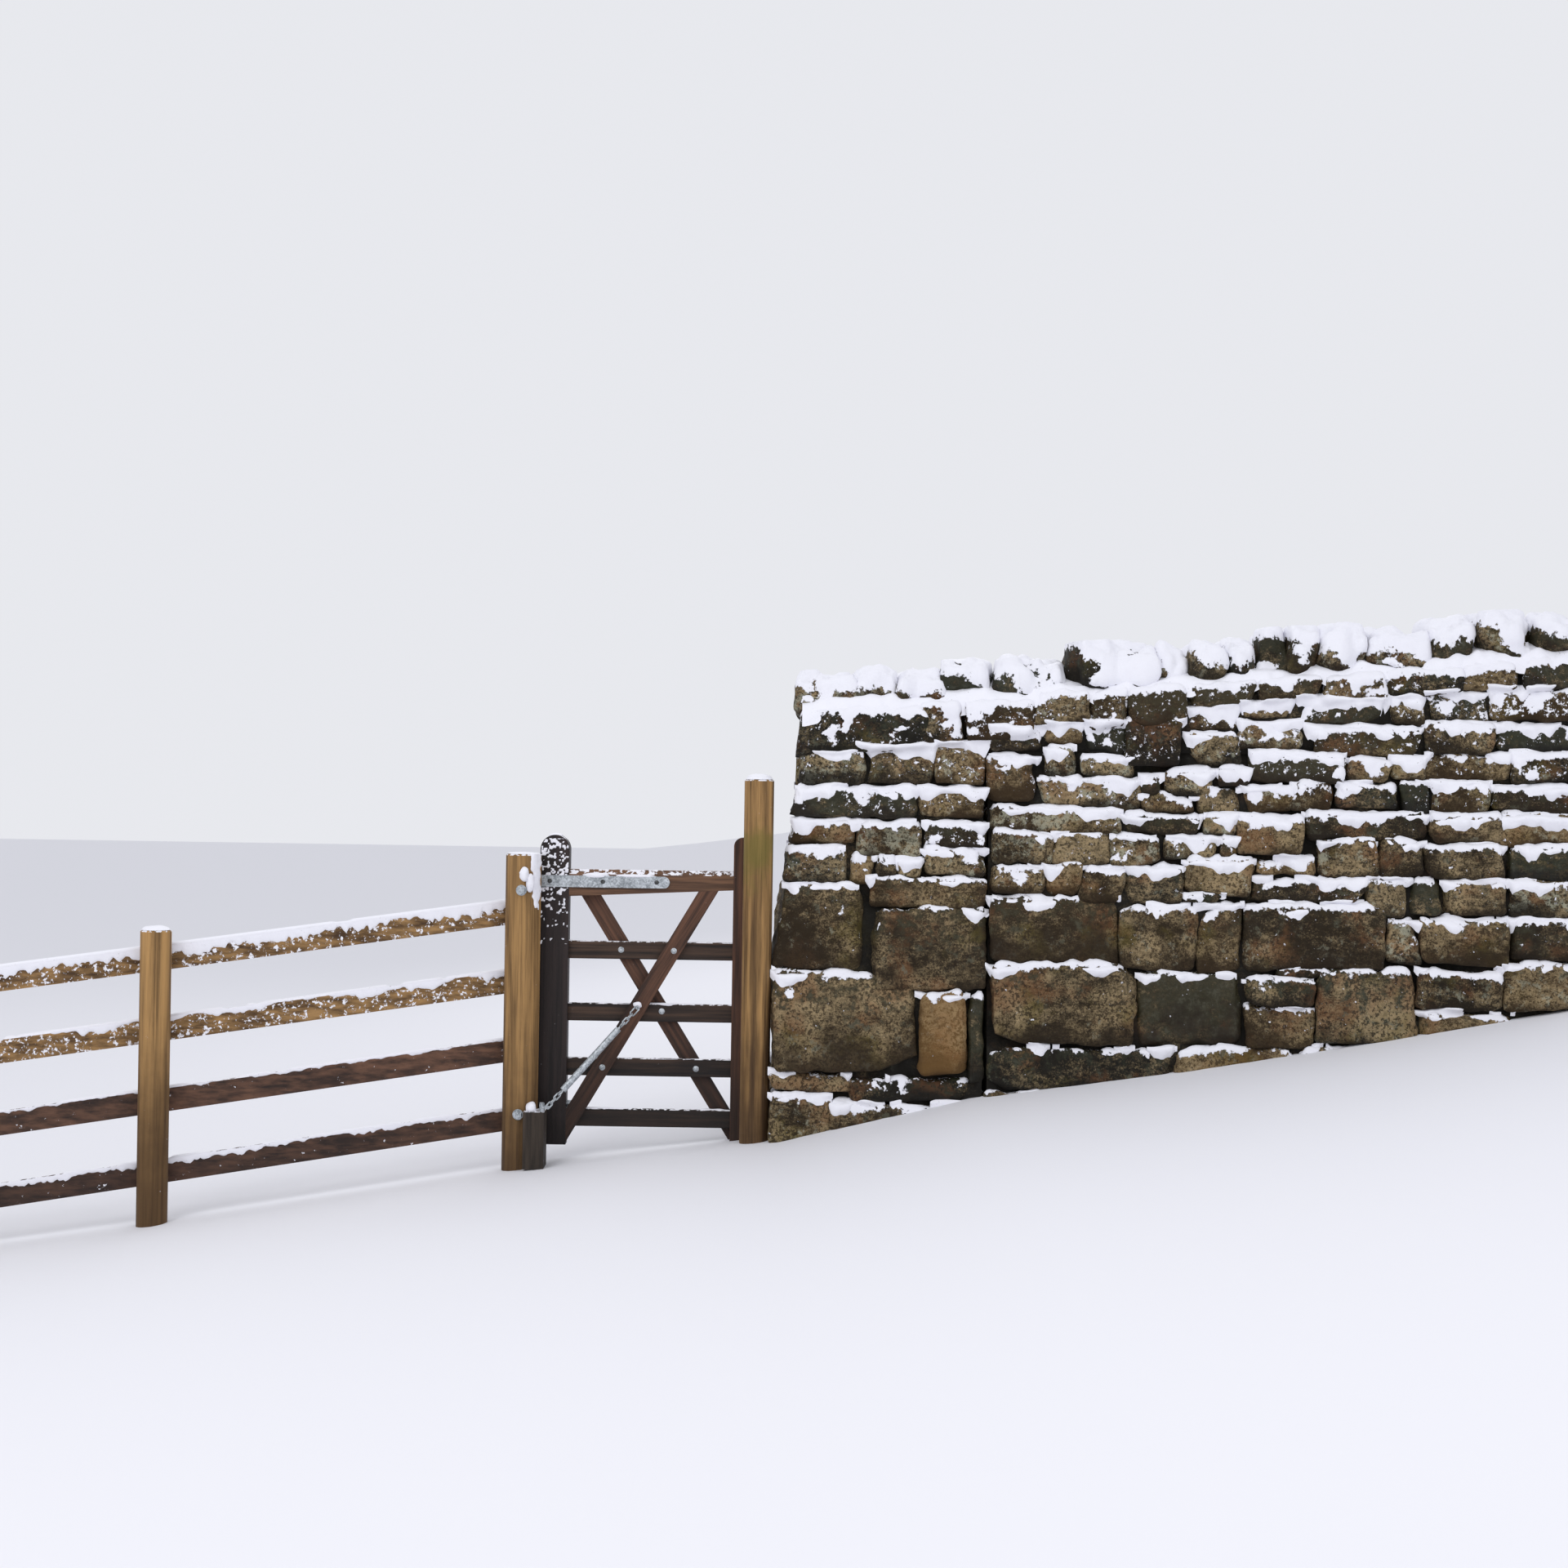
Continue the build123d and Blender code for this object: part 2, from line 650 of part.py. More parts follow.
def make_boulders(rows, start_x, end_x):
    """Rows of long stones from the footing up, each the whole thickness of the wall."""
    stones = []
    bed, bed_end_x = 0.0, start_x
    for level, ends in stone_ends(rows, start_x, end_x):
        left = start_x
        for right in ends:
            base = bed + joint_gap
            if left >= bed_end_x:
                base = footing_top(max(start for start in footing_starts() if start <= left))
            low_left, high_left = left, left
            if left == wall_head_x:
                low_left, high_left = head_line(base), head_line(level)
            edge = right - joint_gap if right < wall_end_x else right
            stones.append(lay_stone([(low_left, base), (edge, base), (edge, level), (high_left, level)],
                                    boulder_proud, boulder_chamfer))
            left = right
        bed, bed_end_x = level, left
    return stones


def make_walling_head():
    top_left = head_meets_cover()
    base = boulder_top_z
    outline = [(head_line(base), base), (joint_x - joint_gap, base),
               (joint_x - joint_gap, cover_base(joint_x - joint_gap)), top_left]
    return battered(outline)


def make_walling_run():
    base = boulder_top_z
    return battered([(joint_x, base), (wall_end_x, base), (wall_end_x, cover_base(wall_end_x)),
                     (joint_x, cover_base(joint_x))])


def make_cover_stones():
    """Flat stones that bridge the wall under the cope."""
    stones = []
    left = head_meets_cover()[0] - cope_overhang
    for share in cover_ends:
        right = wall_head_x + share * wall_length
        edge = right - joint_gap if share < 1 else right
        outline = [(left, cover_base(left)), (edge, cover_base(edge)), (edge, cope_base(edge)), (left, cope_base(left))]
        stones.append(lay_stone(outline, cover_proud, cover_chamfer))
        left = right
    return stones


def make_cope_stone(left, right, height):
    """One rounded stone, round in both views."""
    middle_y = wall_front_y + wall_thickness / 2
    near_y, far_y = middle_y - cope_width / 2, middle_y + cope_width / 2
    base_left, base_right = cope_base(left), cope_base(right)
    top = base_right + height
    front = Polygon((left, base_left), (right, base_right), (right, top), (left, base_left + height), align=None)
    corner = min(cope_corner_cut, (right - left) * cope_corner_ratio)
    front = chamfer(front.vertices().sort_by(Axis.Y)[2:], corner)
    end_view = Polygon((near_y, base_left), (far_y, base_left), (far_y, top), (near_y, top), align=None)
    end_view = fillet(end_view.vertices().sort_by(Axis.Y)[2:], cope_side_round)
    body = extrude(Plane.XZ.offset(-near_y) * front, cope_width, dir=(0, 1, 0))
    return body & extrude(Plane.YZ.offset(left) * end_view, right - left)


def make_cope():
    """The row of cope stones, the first of all lower than the rest."""
    stones = []
    left = head_meets_cover()[0] - cope_overhang
    for share in cope_ends:
        right = wall_head_x + share * wall_length
        edge = right - joint_gap if share < 1 else right
        stones.append(make_cope_stone(left, edge, cope_height if stones else head_cope_height))
        left = right
    return stones


def export_node(name, shape):
    solids = []
    for piece in shape if isinstance(shape, list) else [shape]:
        solids += piece.solids()
    whole = solids[0] if len(solids) == 1 else Compound(children=solids)
    export_step(whole, f"parts/{name}.step")


def main():
    os.makedirs("parts", exist_ok=True)
    export_node("hanging_post", make_hanging_post())
    export_node("shutting_post", round_post(shutting_x, shutting_y, shutting_post_diameter, shutting_post_height))
    export_node("heel_stile", make_heel_stile())
    export_node("shutting_stile", make_shutting_stile())
    export_node("top_rail", make_top_rail())
    for index, name in enumerate(["second_rail", "middle_rail", "fourth_rail", "bottom_rail"]):
        rail = make_rail(index)
        if name == "middle_rail":
            rail -= closer_peg_hole()
        export_node(name, rail)
    export_node("front_brace", make_front_brace())
    export_node("back_brace", make_back_brace())
    export_node("top_strap", make_top_strap())
    export_node("lower_eye_bolt", make_lower_eye_bolt())
    export_node("top_hook", make_hook(strap_base_z, strap_depth))
    export_node("lower_hook", make_hook(lower_eye_base_z, eye_bolt_depth))
    export_node("closer_block", make_closer_block())
    export_node("closer_pin", make_swivel_pin())
    export_node("closer_swivel", make_swivel())
    export_node("closer_lower_chain", make_lower_chain())
    export_node("closer_tube", make_tube())
    export_node("closer_rod", make_rod())
    export_node("closer_upper_chain", make_upper_chain())
    export_node("closer_peg", make_closer_peg())
    for bay in range(1, fence_bays + 1):
        export_node(f"fence_post_{bay}", make_fence_post(bay))
    for number, name in enumerate(["top", "upper", "lower", "bottom"]):
        export_node(f"fence_rail_{name}", make_fence_rail(number))
    export_node("wall_footing", make_footing())
    export_node("boulders_head", make_boulders(head_rows, wall_head_x, joint_x - joint_gap))
    export_node("boulders_run", make_boulders(run_rows, joint_x, wall_end_x))
    export_node("walling_head", make_walling_head())
    export_node("walling_run", make_walling_run())
    export_node("cover_stones", make_cover_stones())
    cope = make_cope()
    export_node("cope_head", cope[:head_cope_count])
    export_node("cope_run", cope[head_cope_count:])


main()
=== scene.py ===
import math
from itertools import product

import bpy
import numpy as np
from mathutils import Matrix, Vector
from mathutils.bvhtree import BVHTree


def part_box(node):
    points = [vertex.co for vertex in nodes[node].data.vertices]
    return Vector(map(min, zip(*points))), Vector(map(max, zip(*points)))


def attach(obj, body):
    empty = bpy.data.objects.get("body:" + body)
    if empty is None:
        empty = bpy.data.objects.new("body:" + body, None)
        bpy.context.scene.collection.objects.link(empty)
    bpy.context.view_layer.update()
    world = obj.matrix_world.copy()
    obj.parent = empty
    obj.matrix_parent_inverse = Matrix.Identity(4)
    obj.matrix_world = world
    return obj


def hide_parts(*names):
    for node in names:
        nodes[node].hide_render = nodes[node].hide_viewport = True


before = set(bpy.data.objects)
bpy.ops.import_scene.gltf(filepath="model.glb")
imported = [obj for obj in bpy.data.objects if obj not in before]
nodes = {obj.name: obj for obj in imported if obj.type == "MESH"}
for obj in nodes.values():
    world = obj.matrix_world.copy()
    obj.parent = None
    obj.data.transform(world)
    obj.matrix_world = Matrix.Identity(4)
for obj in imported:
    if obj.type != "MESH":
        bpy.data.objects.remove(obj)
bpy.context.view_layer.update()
print("Frame loaded with", len(nodes), "pieces")


# Camera
cameraSettings = {
    "position": (1.097, -9.69, 2.032),
    "lens": 52.5,  # mm
    "sensor": 36,  # mm wide
    "roll": 0.9,  # degrees, uprights lean left at the top
    "farthest": 400,
}


def placed(name, data):
    thing = bpy.data.objects.new(name, data)
    bpy.context.scene.collection.objects.link(thing)
    return thing


cameraData = bpy.data.cameras.new("camera")
cameraData.lens = cameraSettings["lens"]
cameraData.sensor_width = cameraSettings["sensor"]
cameraData.clip_end = cameraSettings["farthest"]
camera = placed("camera", cameraData)
camera.location = cameraSettings["position"]
camera.rotation_euler = (math.radians(90), math.radians(-cameraSettings["roll"]), 0)
bpy.context.scene.camera = camera
bpy.context.scene.view_settings.view_transform = "Standard"
print("Camera set")


# Light and floor
studioSettings = {
    "skyColour": (0.82, 0.83, 0.87),
    "skyStrength": 0.98,
    "lights": {  # position, size, power
        "keyLight": ((-4.5, -8.0, 9.0), 7.0, 330.0),
        "fillLight": ((6.0, -7.0, 6.0), 6.0, 90.0),
        "backLight": ((2.0, 9.0, 8.0), 8.0, 160.0),
    },
    "aim": (1.0, 0.2, 1.2),
    "floorColour": (0.80, 0.80, 0.84),
    "floorRough": 0.9,
    "floorReach": 60.0,
    # Ground that the posts and the wall stand in: along the wall, then level
    "floorProfile": [(-60.0, -0.01), (-3.2, -0.01), (-1.46, 0.19), (0.0, 0.39), (1.1, 0.53), (1.9, 0.72),
                     (2.75, 0.84), (3.3, 0.93), (3.7, 1.0), (4.5, 1.14), (4.9, 1.2), (60.0, 1.2)],
}


def softLight(name, position, size, power):
    lightData = bpy.data.lights.new(name, "AREA")
    lightData.shape = "DISK"
    lightData.size = size
    lightData.energy = power
    light = placed(name, lightData)
    light.location = position
    aim = Vector(studioSettings["aim"]) - Vector(position)
    light.rotation_euler = aim.to_track_quat("-Z", "Y").to_euler()


for name, light in studioSettings["lights"].items():
    softLight(name, *light)

world = bpy.data.worlds.new("paleSky")
world.use_nodes = True
worldBackground = world.node_tree.nodes["Background"]
worldBackground.inputs["Color"].default_value = (*studioSettings["skyColour"], 1)
worldBackground.inputs["Strength"].default_value = studioSettings["skyStrength"]
bpy.context.scene.world = world


def meshObject(name, vertices, faces):
    mesh = bpy.data.meshes.new(name)
    mesh.from_pydata(vertices, [], faces)
    mesh.update()
    mesh.polygons.foreach_set("use_smooth", [True] * len(mesh.polygons))
    return placed(name, mesh)


profile, floorReach = studioSettings["floorProfile"], studioSettings["floorReach"]
floorPoints = [(x, y, z) for x, z in profile for y in (-floorReach, floorReach)]
floorFaces = [(2 * i, 2 * i + 2, 2 * i + 3, 2 * i + 1) for i in range(len(profile) - 1)]
floor = meshObject("floor", floorPoints, floorFaces)
print("Light and floor set")


# Numbers, noise and faces that the stones and the snow are made with
def capped(values):
    return np.clip(values, 0, 1)


def between(limits, share):
    return limits[0] + (limits[1] - limits[0]) * share


def ease(values, low, high):
    share = capped((values - low) / (high - low))
    return share * share * (3 - 2 * share)


def stacked(x, y, z):
    return np.column_stack(np.broadcast_arrays(x, y, z))


def crossed(first, columns, second, rows):
    across, up = np.linspace(*first, columns + 1), np.linspace(*second, rows + 1)
    return np.repeat(across, rows + 1), np.tile(up, columns + 1)


def smoothNoise(points, size, seed):
    scaled = points / size + seed * 7.13
    cell = np.floor(scaled).astype(np.int64)
    share = scaled - cell
    share = share * share * (3 - 2 * share)
    total = np.zeros(len(points))
    for corner in product((0, 1), repeat=3):
        key = cell + np.array(corner)  # scattered by large primes below
        mixed = key[:, 0] * 73856093 ^ key[:, 1] * 19349663 ^ key[:, 2] * 83492791 ^ seed * 2654435761
        mixed = (mixed ^ (mixed >> 13)) * 1274126177
        value = ((mixed ^ (mixed >> 16)) & 65535) / 32767.5 - 1
        total += value * np.prod(np.where(corner, share, 1 - share), axis=1)
    return total  # from -1 to 1, with blobs about as wide as size


def noiseSum(points, *layers):
    return sum(smoothNoise(points, size, seed) * amount for size, seed, amount in layers)


def flipped(faces):
    return [tuple(reversed(face)) for face in faces]


def joined(parts):
    faces, start = [], 0
    for points, partFaces in parts:
        faces += [tuple(index + start for index in face) for face in partFaces]
        start += len(points)
    return np.concatenate([points for points, partFaces in parts]), faces


def gridFaces(columns, rows, turned, kept=None):
    faces = []
    for i, k in product(range(columns), range(rows)):
        if kept is None or kept[i, k]:
            a, b = i * (rows + 1) + k, (i + 1) * (rows + 1) + k
            faces.append((a, a + 1, b + 1, b) if turned else (a, b, b + 1, a + 1))
    return faces


def ringFaces(rings, spokes):
    faces = []
    for spoke in range(spokes):
        after = (spoke + 1) % spokes
        faces.append((0, 1 + spoke, 1 + after))
        for ring in range(rings - 1):
            inner, outer = 1 + ring * spokes, 1 + (ring + 1) * spokes
            faces.append((inner + spoke, outer + spoke, outer + after, inner + after))
    return faces  # rings round point 0


def onlyUsed(points, faces):
    used = np.unique([index for face in faces for index in face])
    places = {index: place for place, index in enumerate(used.tolist())}
    return points[used], [tuple(places[index] for index in face) for face in faces]


# Stone shapes
shellStore = {}


def blockShell(counts, closed):
    if (counts, closed) in shellStore:
        return shellStore[counts, closed]
    nx, ny, nz = counts
    places, points, faces = {}, [], []

    def corner(i, j, k):
        if (i, j, k) not in places:
            places[i, j, k] = len(points)
            points.append((2 * i / nx - 1, 2 * j / ny - 1, 2 * k / nz - 1))
        return places[i, j, k]

    def quad(*corners):
        faces.append(tuple(corner(*spot) for spot in corners))

    for i, k in product(range(nx), range(nz)):
        quad((i, 0, k), (i + 1, 0, k), (i + 1, 0, k + 1), (i, 0, k + 1))
    for i, j in product(range(nx), range(ny)):
        quad((i, j, 0), (i, j + 1, 0), (i + 1, j + 1, 0), (i + 1, j, 0))
        quad((i, j, nz), (i + 1, j, nz), (i + 1, j + 1, nz), (i, j + 1, nz))
    for k, j in product(range(nz), range(ny)):
        quad((0, j, k), (0, j, k + 1), (0, j + 1, k + 1), (0, j + 1, k))
        quad((nx, j, k), (nx, j + 1, k), (nx, j + 1, k + 1), (nx, j, k + 1))
    if closed:
        for i, k in product(range(nx), range(nz)):
            quad((i, ny, k), (i, ny, k + 1), (i + 1, ny, k + 1), (i + 1, ny, k))
    else:
        rim = [corner(i, ny, 0) for i in range(nx)] + [corner(nx, ny, k) for k in range(nz)]
        rim += [corner(i, ny, nz) for i in range(nx, 0, -1)] + [corner(0, ny, k) for k in range(nz, 0, -1)]
        faces.append(tuple(reversed(rim)))
    shellStore[counts, closed] = (np.array(points), faces)
    return shellStore[counts, closed]  # a cube from -1 to 1, with its far side one face unless closed


stoneSettings = {
    "frontSpacing": 0.014,  # width of a stone's mesh faces on the photographed side
    "backSpacing": 0.024,
    "spacingShares": (1, 0.7, 1),
    "rounding": (0.030, 0.55),  # of the edges: the most, and the most as a share of half the thickness
    "cornerShift": 0.14,
    "cornerReach": 0.09,
    "chips": 6,
    "chipDepth": 0.10,
    "roughSize": 0.055,
    "roughDepth": 0.0085,
    "fineSize": 0.021,
    "fineDepth": 0.0030,
    "beds": (0.3, 0.6, 1.4),
}


def spacingOf(side):
    return stoneSettings["frontSpacing" if side < 0 else "backSpacing"]


def shapeStone(size, spacing, seed, rounding=stoneSettings["rounding"], closed=False):
    rng = np.random.default_rng(seed)
    half = np.array(size) / 2
    counts = tuple(int(max(2, round(edge / spacing))) for edge in half * 2 * stoneSettings["spacingShares"])
    unit, faces = blockShell(counts, closed)
    radius = min(rounding[0], half.min() * rounding[1])
    chipDepth = stoneSettings["chipDepth"]
    points = unit * half
    core = np.clip(points, radius - half, half - radius)
    away = points - core
    away /= np.maximum(np.linalg.norm(away, axis=1), 1e-9)[:, None]
    points = core + away * radius
    for _ in range(stoneSettings["chips"]):
        direction = rng.normal(size=3) * (1.0, 0.9, 1.0)
        direction /= np.linalg.norm(direction)
        limit = (np.abs(direction) * half).sum() * rng.uniform(1 - 2 * chipDepth, 1 - chipDepth * 0.4)
        points -= direction * np.maximum(points @ direction - limit, 0)[:, None]
    reach = stoneSettings["cornerShift"] * np.minimum(half, stoneSettings["cornerReach"])
    shift = rng.normal(size=(2, 2, 2, 3)) * reach
    weight = (unit + 1) / 2
    for corner in product((0, 1), repeat=3):
        share = np.prod(np.where(corner, weight, 1 - weight), axis=1)
        points += share[:, None] * shift[corner]
    rough = smoothNoise(points, stoneSettings["roughSize"], seed) * stoneSettings["roughDepth"]
    beds = smoothNoise(points * stoneSettings["beds"], stoneSettings["fineSize"], seed + 1)
    points += away * (rough + beds * stoneSettings["fineDepth"])[:, None]
    return points, faces


def writeValues(piece, name, values):
    attribute = piece.data.attributes.new(name, "FLOAT", "POINT")
    attribute.data.foreach_set("value", np.ascontiguousarray(values, np.float32))


class stonePile:
    def __init__(self, name):
        self.name = name
        self.parts, self.looks, self.coats = [], [], []

    def add(self, points, faces, look, snow, inside=False):
        low, high = points[:, 2].min(), points[:, 2].max()
        # inside pieces get no rise, so the stone colour's darkening towards the foot turns them fully dark:
        # painted shade in the joints
        rise = (points[:, 2] - low) / (high - low) * (not inside)
        drop = high - points[:, 2] + inside
        self.parts.append((points, faces))
        self.looks.append(np.tile(look, (len(points), 1)))
        self.coats.append(stacked(snow, rise, drop))

    def addInside(self, points, faces):
        self.add(points, faces, heartSettings["look"], heartSettings["snow"], True)

    def build(self):
        points, faces = joined(self.parts)
        piece = meshObject(self.name, points.tolist(), faces)
        look = piece.data.attributes.new("stoneLook", "FLOAT_COLOR", "POINT")
        look.data.foreach_set("color", np.concatenate(self.looks).astype(np.float32).ravel())
        coats = np.concatenate(self.coats)
        for column, name in enumerate(("snowShare", "stoneRise")):
            writeValues(piece, name, coats[:, column])
        return piece


# One pile for each CAD node that stones stand for
pileNames = {
    "boulders_head": "bouldersStonesHead",
    "boulders_run": "bouldersStonesRun",
    "walling_head": "wallingStonesHead",
    "walling_run": "wallingStonesRun",
    "wall_footing": "footingStones",
    "cover_stones": "coverBand",
    "cope_head": "copeStonesHead",
    "cope_run": "copeStonesRun",
}
piles = {node: stonePile(name) for node, name in pileNames.items()}


# Wall shape, in metres, as in the frame
wallSettings = {
    "headX": 1.0558,
    "endX": 4.4998,
    "jointX": 1.9598,
    "halfJoint": 0.01,
    "frontY": -0.100,
    "backY": 0.650,
    "datumZ": 0.533,
    "batter": 12.0,
    "shoulderZ": 1.2,
    "headBatter": 8.7,
    "boulderTop": 1.6,
    "coverBase": 2.207,
    "copeBase": 2.312,
    "topSlope": 0.09,
}
startX, endX = wallSettings["headX"], wallSettings["endX"]
midY = (wallSettings["frontY"] + wallSettings["backY"]) / 2


def faceY(z, side):
    lean = (z - wallSettings["datumZ"]) / wallSettings["batter"]
    return wallSettings["frontY"] + lean if side < 0 else wallSettings["backY"] - lean


def headX(z):
    return startX + np.maximum(0, z - wallSettings["shoulderZ"]) / wallSettings["headBatter"]


def coverBaseAt(x):
    return wallSettings["coverBase"] + wallSettings["topSlope"] * (x - startX)


def coverTopAt(x):
    return coverBaseAt(x) + wallSettings["copeBase"] - wallSettings["coverBase"]


def middleOf(stone):
    return (stone[0] + stone[2] / 2) / 100


# How far a cover stone sinks below its band, in centimetres
def coverDropOf(stone):
    base = 100 * coverBaseAt(middleOf(stone))
    return base - min(base, max(stone[1], base - growSettings["coverDrop"]))


# Kinds of stone: tone, lichen, moss and damp, ochre
stoneKinds = {
    "brown": (0.42, 0.15, 0.25, 0.15),
    "tan": (0.62, 0.20, 0.12, 0.30),
    "dark": (0.12, 0.10, 0.55, 0.05),
    "lichen": (0.50, 0.62, 0.25, 0.10),
    "moss": (0.30, 0.35, 0.85, 0.05),
    "ochre": (0.62, 0.10, 0.12, 0.95),
    "grey": (0.60, 0.40, 0.15, 0.00),
    "boulder": (0.38, 0.12, 0.35, 0.12),
}


def lookOf(kind, rng, spread):
    return capped(np.array(stoneKinds[kind]) + rng.normal(size=4) * spread)


# The photographed face, stone by stone: left end, bed, length and height in centimetres, then kind
faceStones = [
    # left of the straight joint
    (107, 203, 32, 12, "grey"), (141, 203, 33, 11, "brown"), (175, 203, 21, 11, "tan"),
    (107, 189, 60, 13, "moss"), (168, 188, 28, 15, "brown"), (106, 177, 31, 11, "brown"),
    (138, 173, 31, 14, "lichen"), (170, 177, 26, 10, "dark"), (106, 161, 29, 15, "brown"),
    (136, 161, 12, 12, "tan"), (149, 164, 8, 9, "dark"), (158, 165, 10, 7, "grey"),
    (169, 167, 27, 9, "brown"), (146, 151, 49, 13, "brown"), (106, 124, 38, 36, "boulder"),
    (145, 116, 51, 34, "boulder"), (106, 82, 61, 41, "boulder"), (168, 81, 20, 34, "ochre"),
    (189, 79, 7, 36, "moss"), (107, 73, 32, 9, "brown"), (140, 70, 50, 10, "dark"),
    (107, 48, 24, 24, "boulder"), (132, 47, 62, 22, "boulder"),
    # right of it, from the ground up
    (198, 75, 77, 18, "dark"), (198, 60, 40, 14, "boulder"), (197, 98, 63, 30, "boulder"),
    (262, 95, 43, 28, "moss"), (306, 95, 28, 16, "brown"), (306, 112, 28, 11, "boulder"),
    (336, 97, 42, 31, "boulder"), (276, 77, 50, 17, "boulder"), (327, 88, 50, 8, "brown"),
    (379, 99, 36, 12, "brown"), (380, 112, 34, 17, "boulder"), (415, 116, 34, 16, "boulder"),
    (198, 129, 54, 28, "boulder"), (254, 127, 30, 27, "boulder"), (286, 127, 18, 28, "brown"),
    (306, 129, 60, 27, "boulder"), (323, 124, 21, 4, "dark"), (368, 130, 12, 18, "grey"),
    (381, 130, 36, 20, "boulder"), (418, 133, 31, 18, "boulder"), (197, 158, 23, 12, "brown"),
    (221, 158, 14, 12, "tan"), (236, 155, 19, 13, "brown"), (256, 156, 23, 14, "dark"),
    (281, 159, 28, 14, "brown"), (281, 155, 12, 4, "dark"), (311, 167, 26, 8, "tan"),
    (311, 158, 45, 8, "dark"), (358, 150, 18, 16, "brown"), (377, 151, 12, 15, "moss"),
    (390, 151, 28, 15, "brown"), (419, 152, 30, 14, "grey"), (198, 171, 26, 12, "lichen"),
    (225, 171, 24, 12, "brown"), (250, 171, 20, 12, "lichen"), (271, 174, 24, 9, "brown"),
    (296, 174, 7, 9, "dark"), (304, 176, 26, 16, "tan"), (338, 168, 23, 14, "brown"),
    (362, 167, 20, 14, "dark"), (383, 168, 33, 13, "brown"), (417, 167, 32, 14, "moss"),
    (199, 184, 54, 9, "grey"), (254, 184, 33, 8, "dark"), (288, 184, 15, 8, "grey"),
    (332, 183, 52, 11, "dark"), (385, 182, 29, 12, "brown"), (415, 182, 34, 12, "tan"),
    (219, 195, 42, 12, "grey"), (262, 193, 22, 7, "brown"), (286, 193, 17, 11, "brown"),
    (305, 194, 20, 11, "tan"), (327, 196, 18, 10, "brown"), (346, 195, 26, 12, "dark"),
    (373, 196, 12, 12, "moss"), (386, 195, 24, 13, "brown"), (411, 195, 38, 12, "dark"),
    (198, 201, 20, 15, "brown"), (262, 201, 8, 4, "dark"), (272, 201, 21, 10, "grey"),
    (222, 208, 12, 12, "grey"), (235, 208, 24, 9, "grey"), (294, 205, 14, 7, "dark"),
    (309, 207, 39, 13, "moss"), (349, 208, 18, 9, "brown"), (368, 209, 15, 10, "lichen"),
    (384, 209, 35, 11, "brown"), (420, 208, 29, 13, "brown"), (200, 217, 20, 8, "dark"),
    (222, 221, 15, 8, "tan"), (238, 218, 16, 10, "moss"), (256, 212, 24, 13, "dark"),
    (281, 213, 22, 14, "grey"), (304, 221, 26, 12, "brown"), (332, 218, 49, 13, "dark"),
    (382, 221, 30, 12, "brown"), (413, 222, 36, 11, "moss"), (383, 234, 26, 11, "dark"),
    (410, 234, 39, 12, "brown"), (366, 232, 16, 11, "brown"), (284, 228, 19, 9, "dark"),
    (304, 234, 22, 8, "brown"), (328, 232, 36, 8, "moss"),
]
coverStones = [
    (105, 217, 60, 12, "dark"), (167, 217, 18, 13, "brown"), (186, 217, 29, 13, "dark"),
    (217, 230, 21, 11, "grey"), (239, 229, 17, 10, "brown"), (258, 227, 22, 12, "dark"),
    (282, 238, 28, 9, "moss"), (312, 243, 26, 8, "dark"), (340, 241, 24, 8, "brown"),
    (366, 244, 30, 10, "dark"), (398, 247, 25, 10, "brown"), (425, 249, 24, 10, "moss"),
]
# The cope's stones: left end, bed, length and height in centimetres, then lean in degrees
copeStones = [
    (112, 230, 26, 20, 3), (139, 233, 18, 23, -5), (158, 234, 19, 23, 4), (178, 234, 21, 24, 0),
    (200, 240, 31, 19, 5), (232, 242, 36, 20, 9), (269, 244, 13, 20, 11), (283, 244, 14, 20, 8),
    (298, 246, 13, 20, 6), (312, 248, 13, 22, 9), (326, 252, 12, 20, 10), (339, 253, 20, 22, 7),
    (361, 254, 24, 23, 6), (386, 257, 19, 22, 4), (406, 259, 23, 22, 8), (430, 261, 19, 22, 2),
]
print("Stones listed:", len(faceStones) + len(coverStones) + len(copeStones))


# Closing the joints: each stone grows until it nearly meets the next, all in centimetres
growSettings = {
    "reach": 3.5,
    "topReach": 8.0,  # of the last course, up to the cover stones
    "topCourse": 212.0,
    "coverDrop": 6.0,
    "coverReach": 3,
    "tuck": 1.5,
    "step": 0.5,
    "gap": 0.4,
    "head": 105.8,
    "joint": (196.2, 197.0),
    "end": 449.6,
    "ground": 44.0,
}


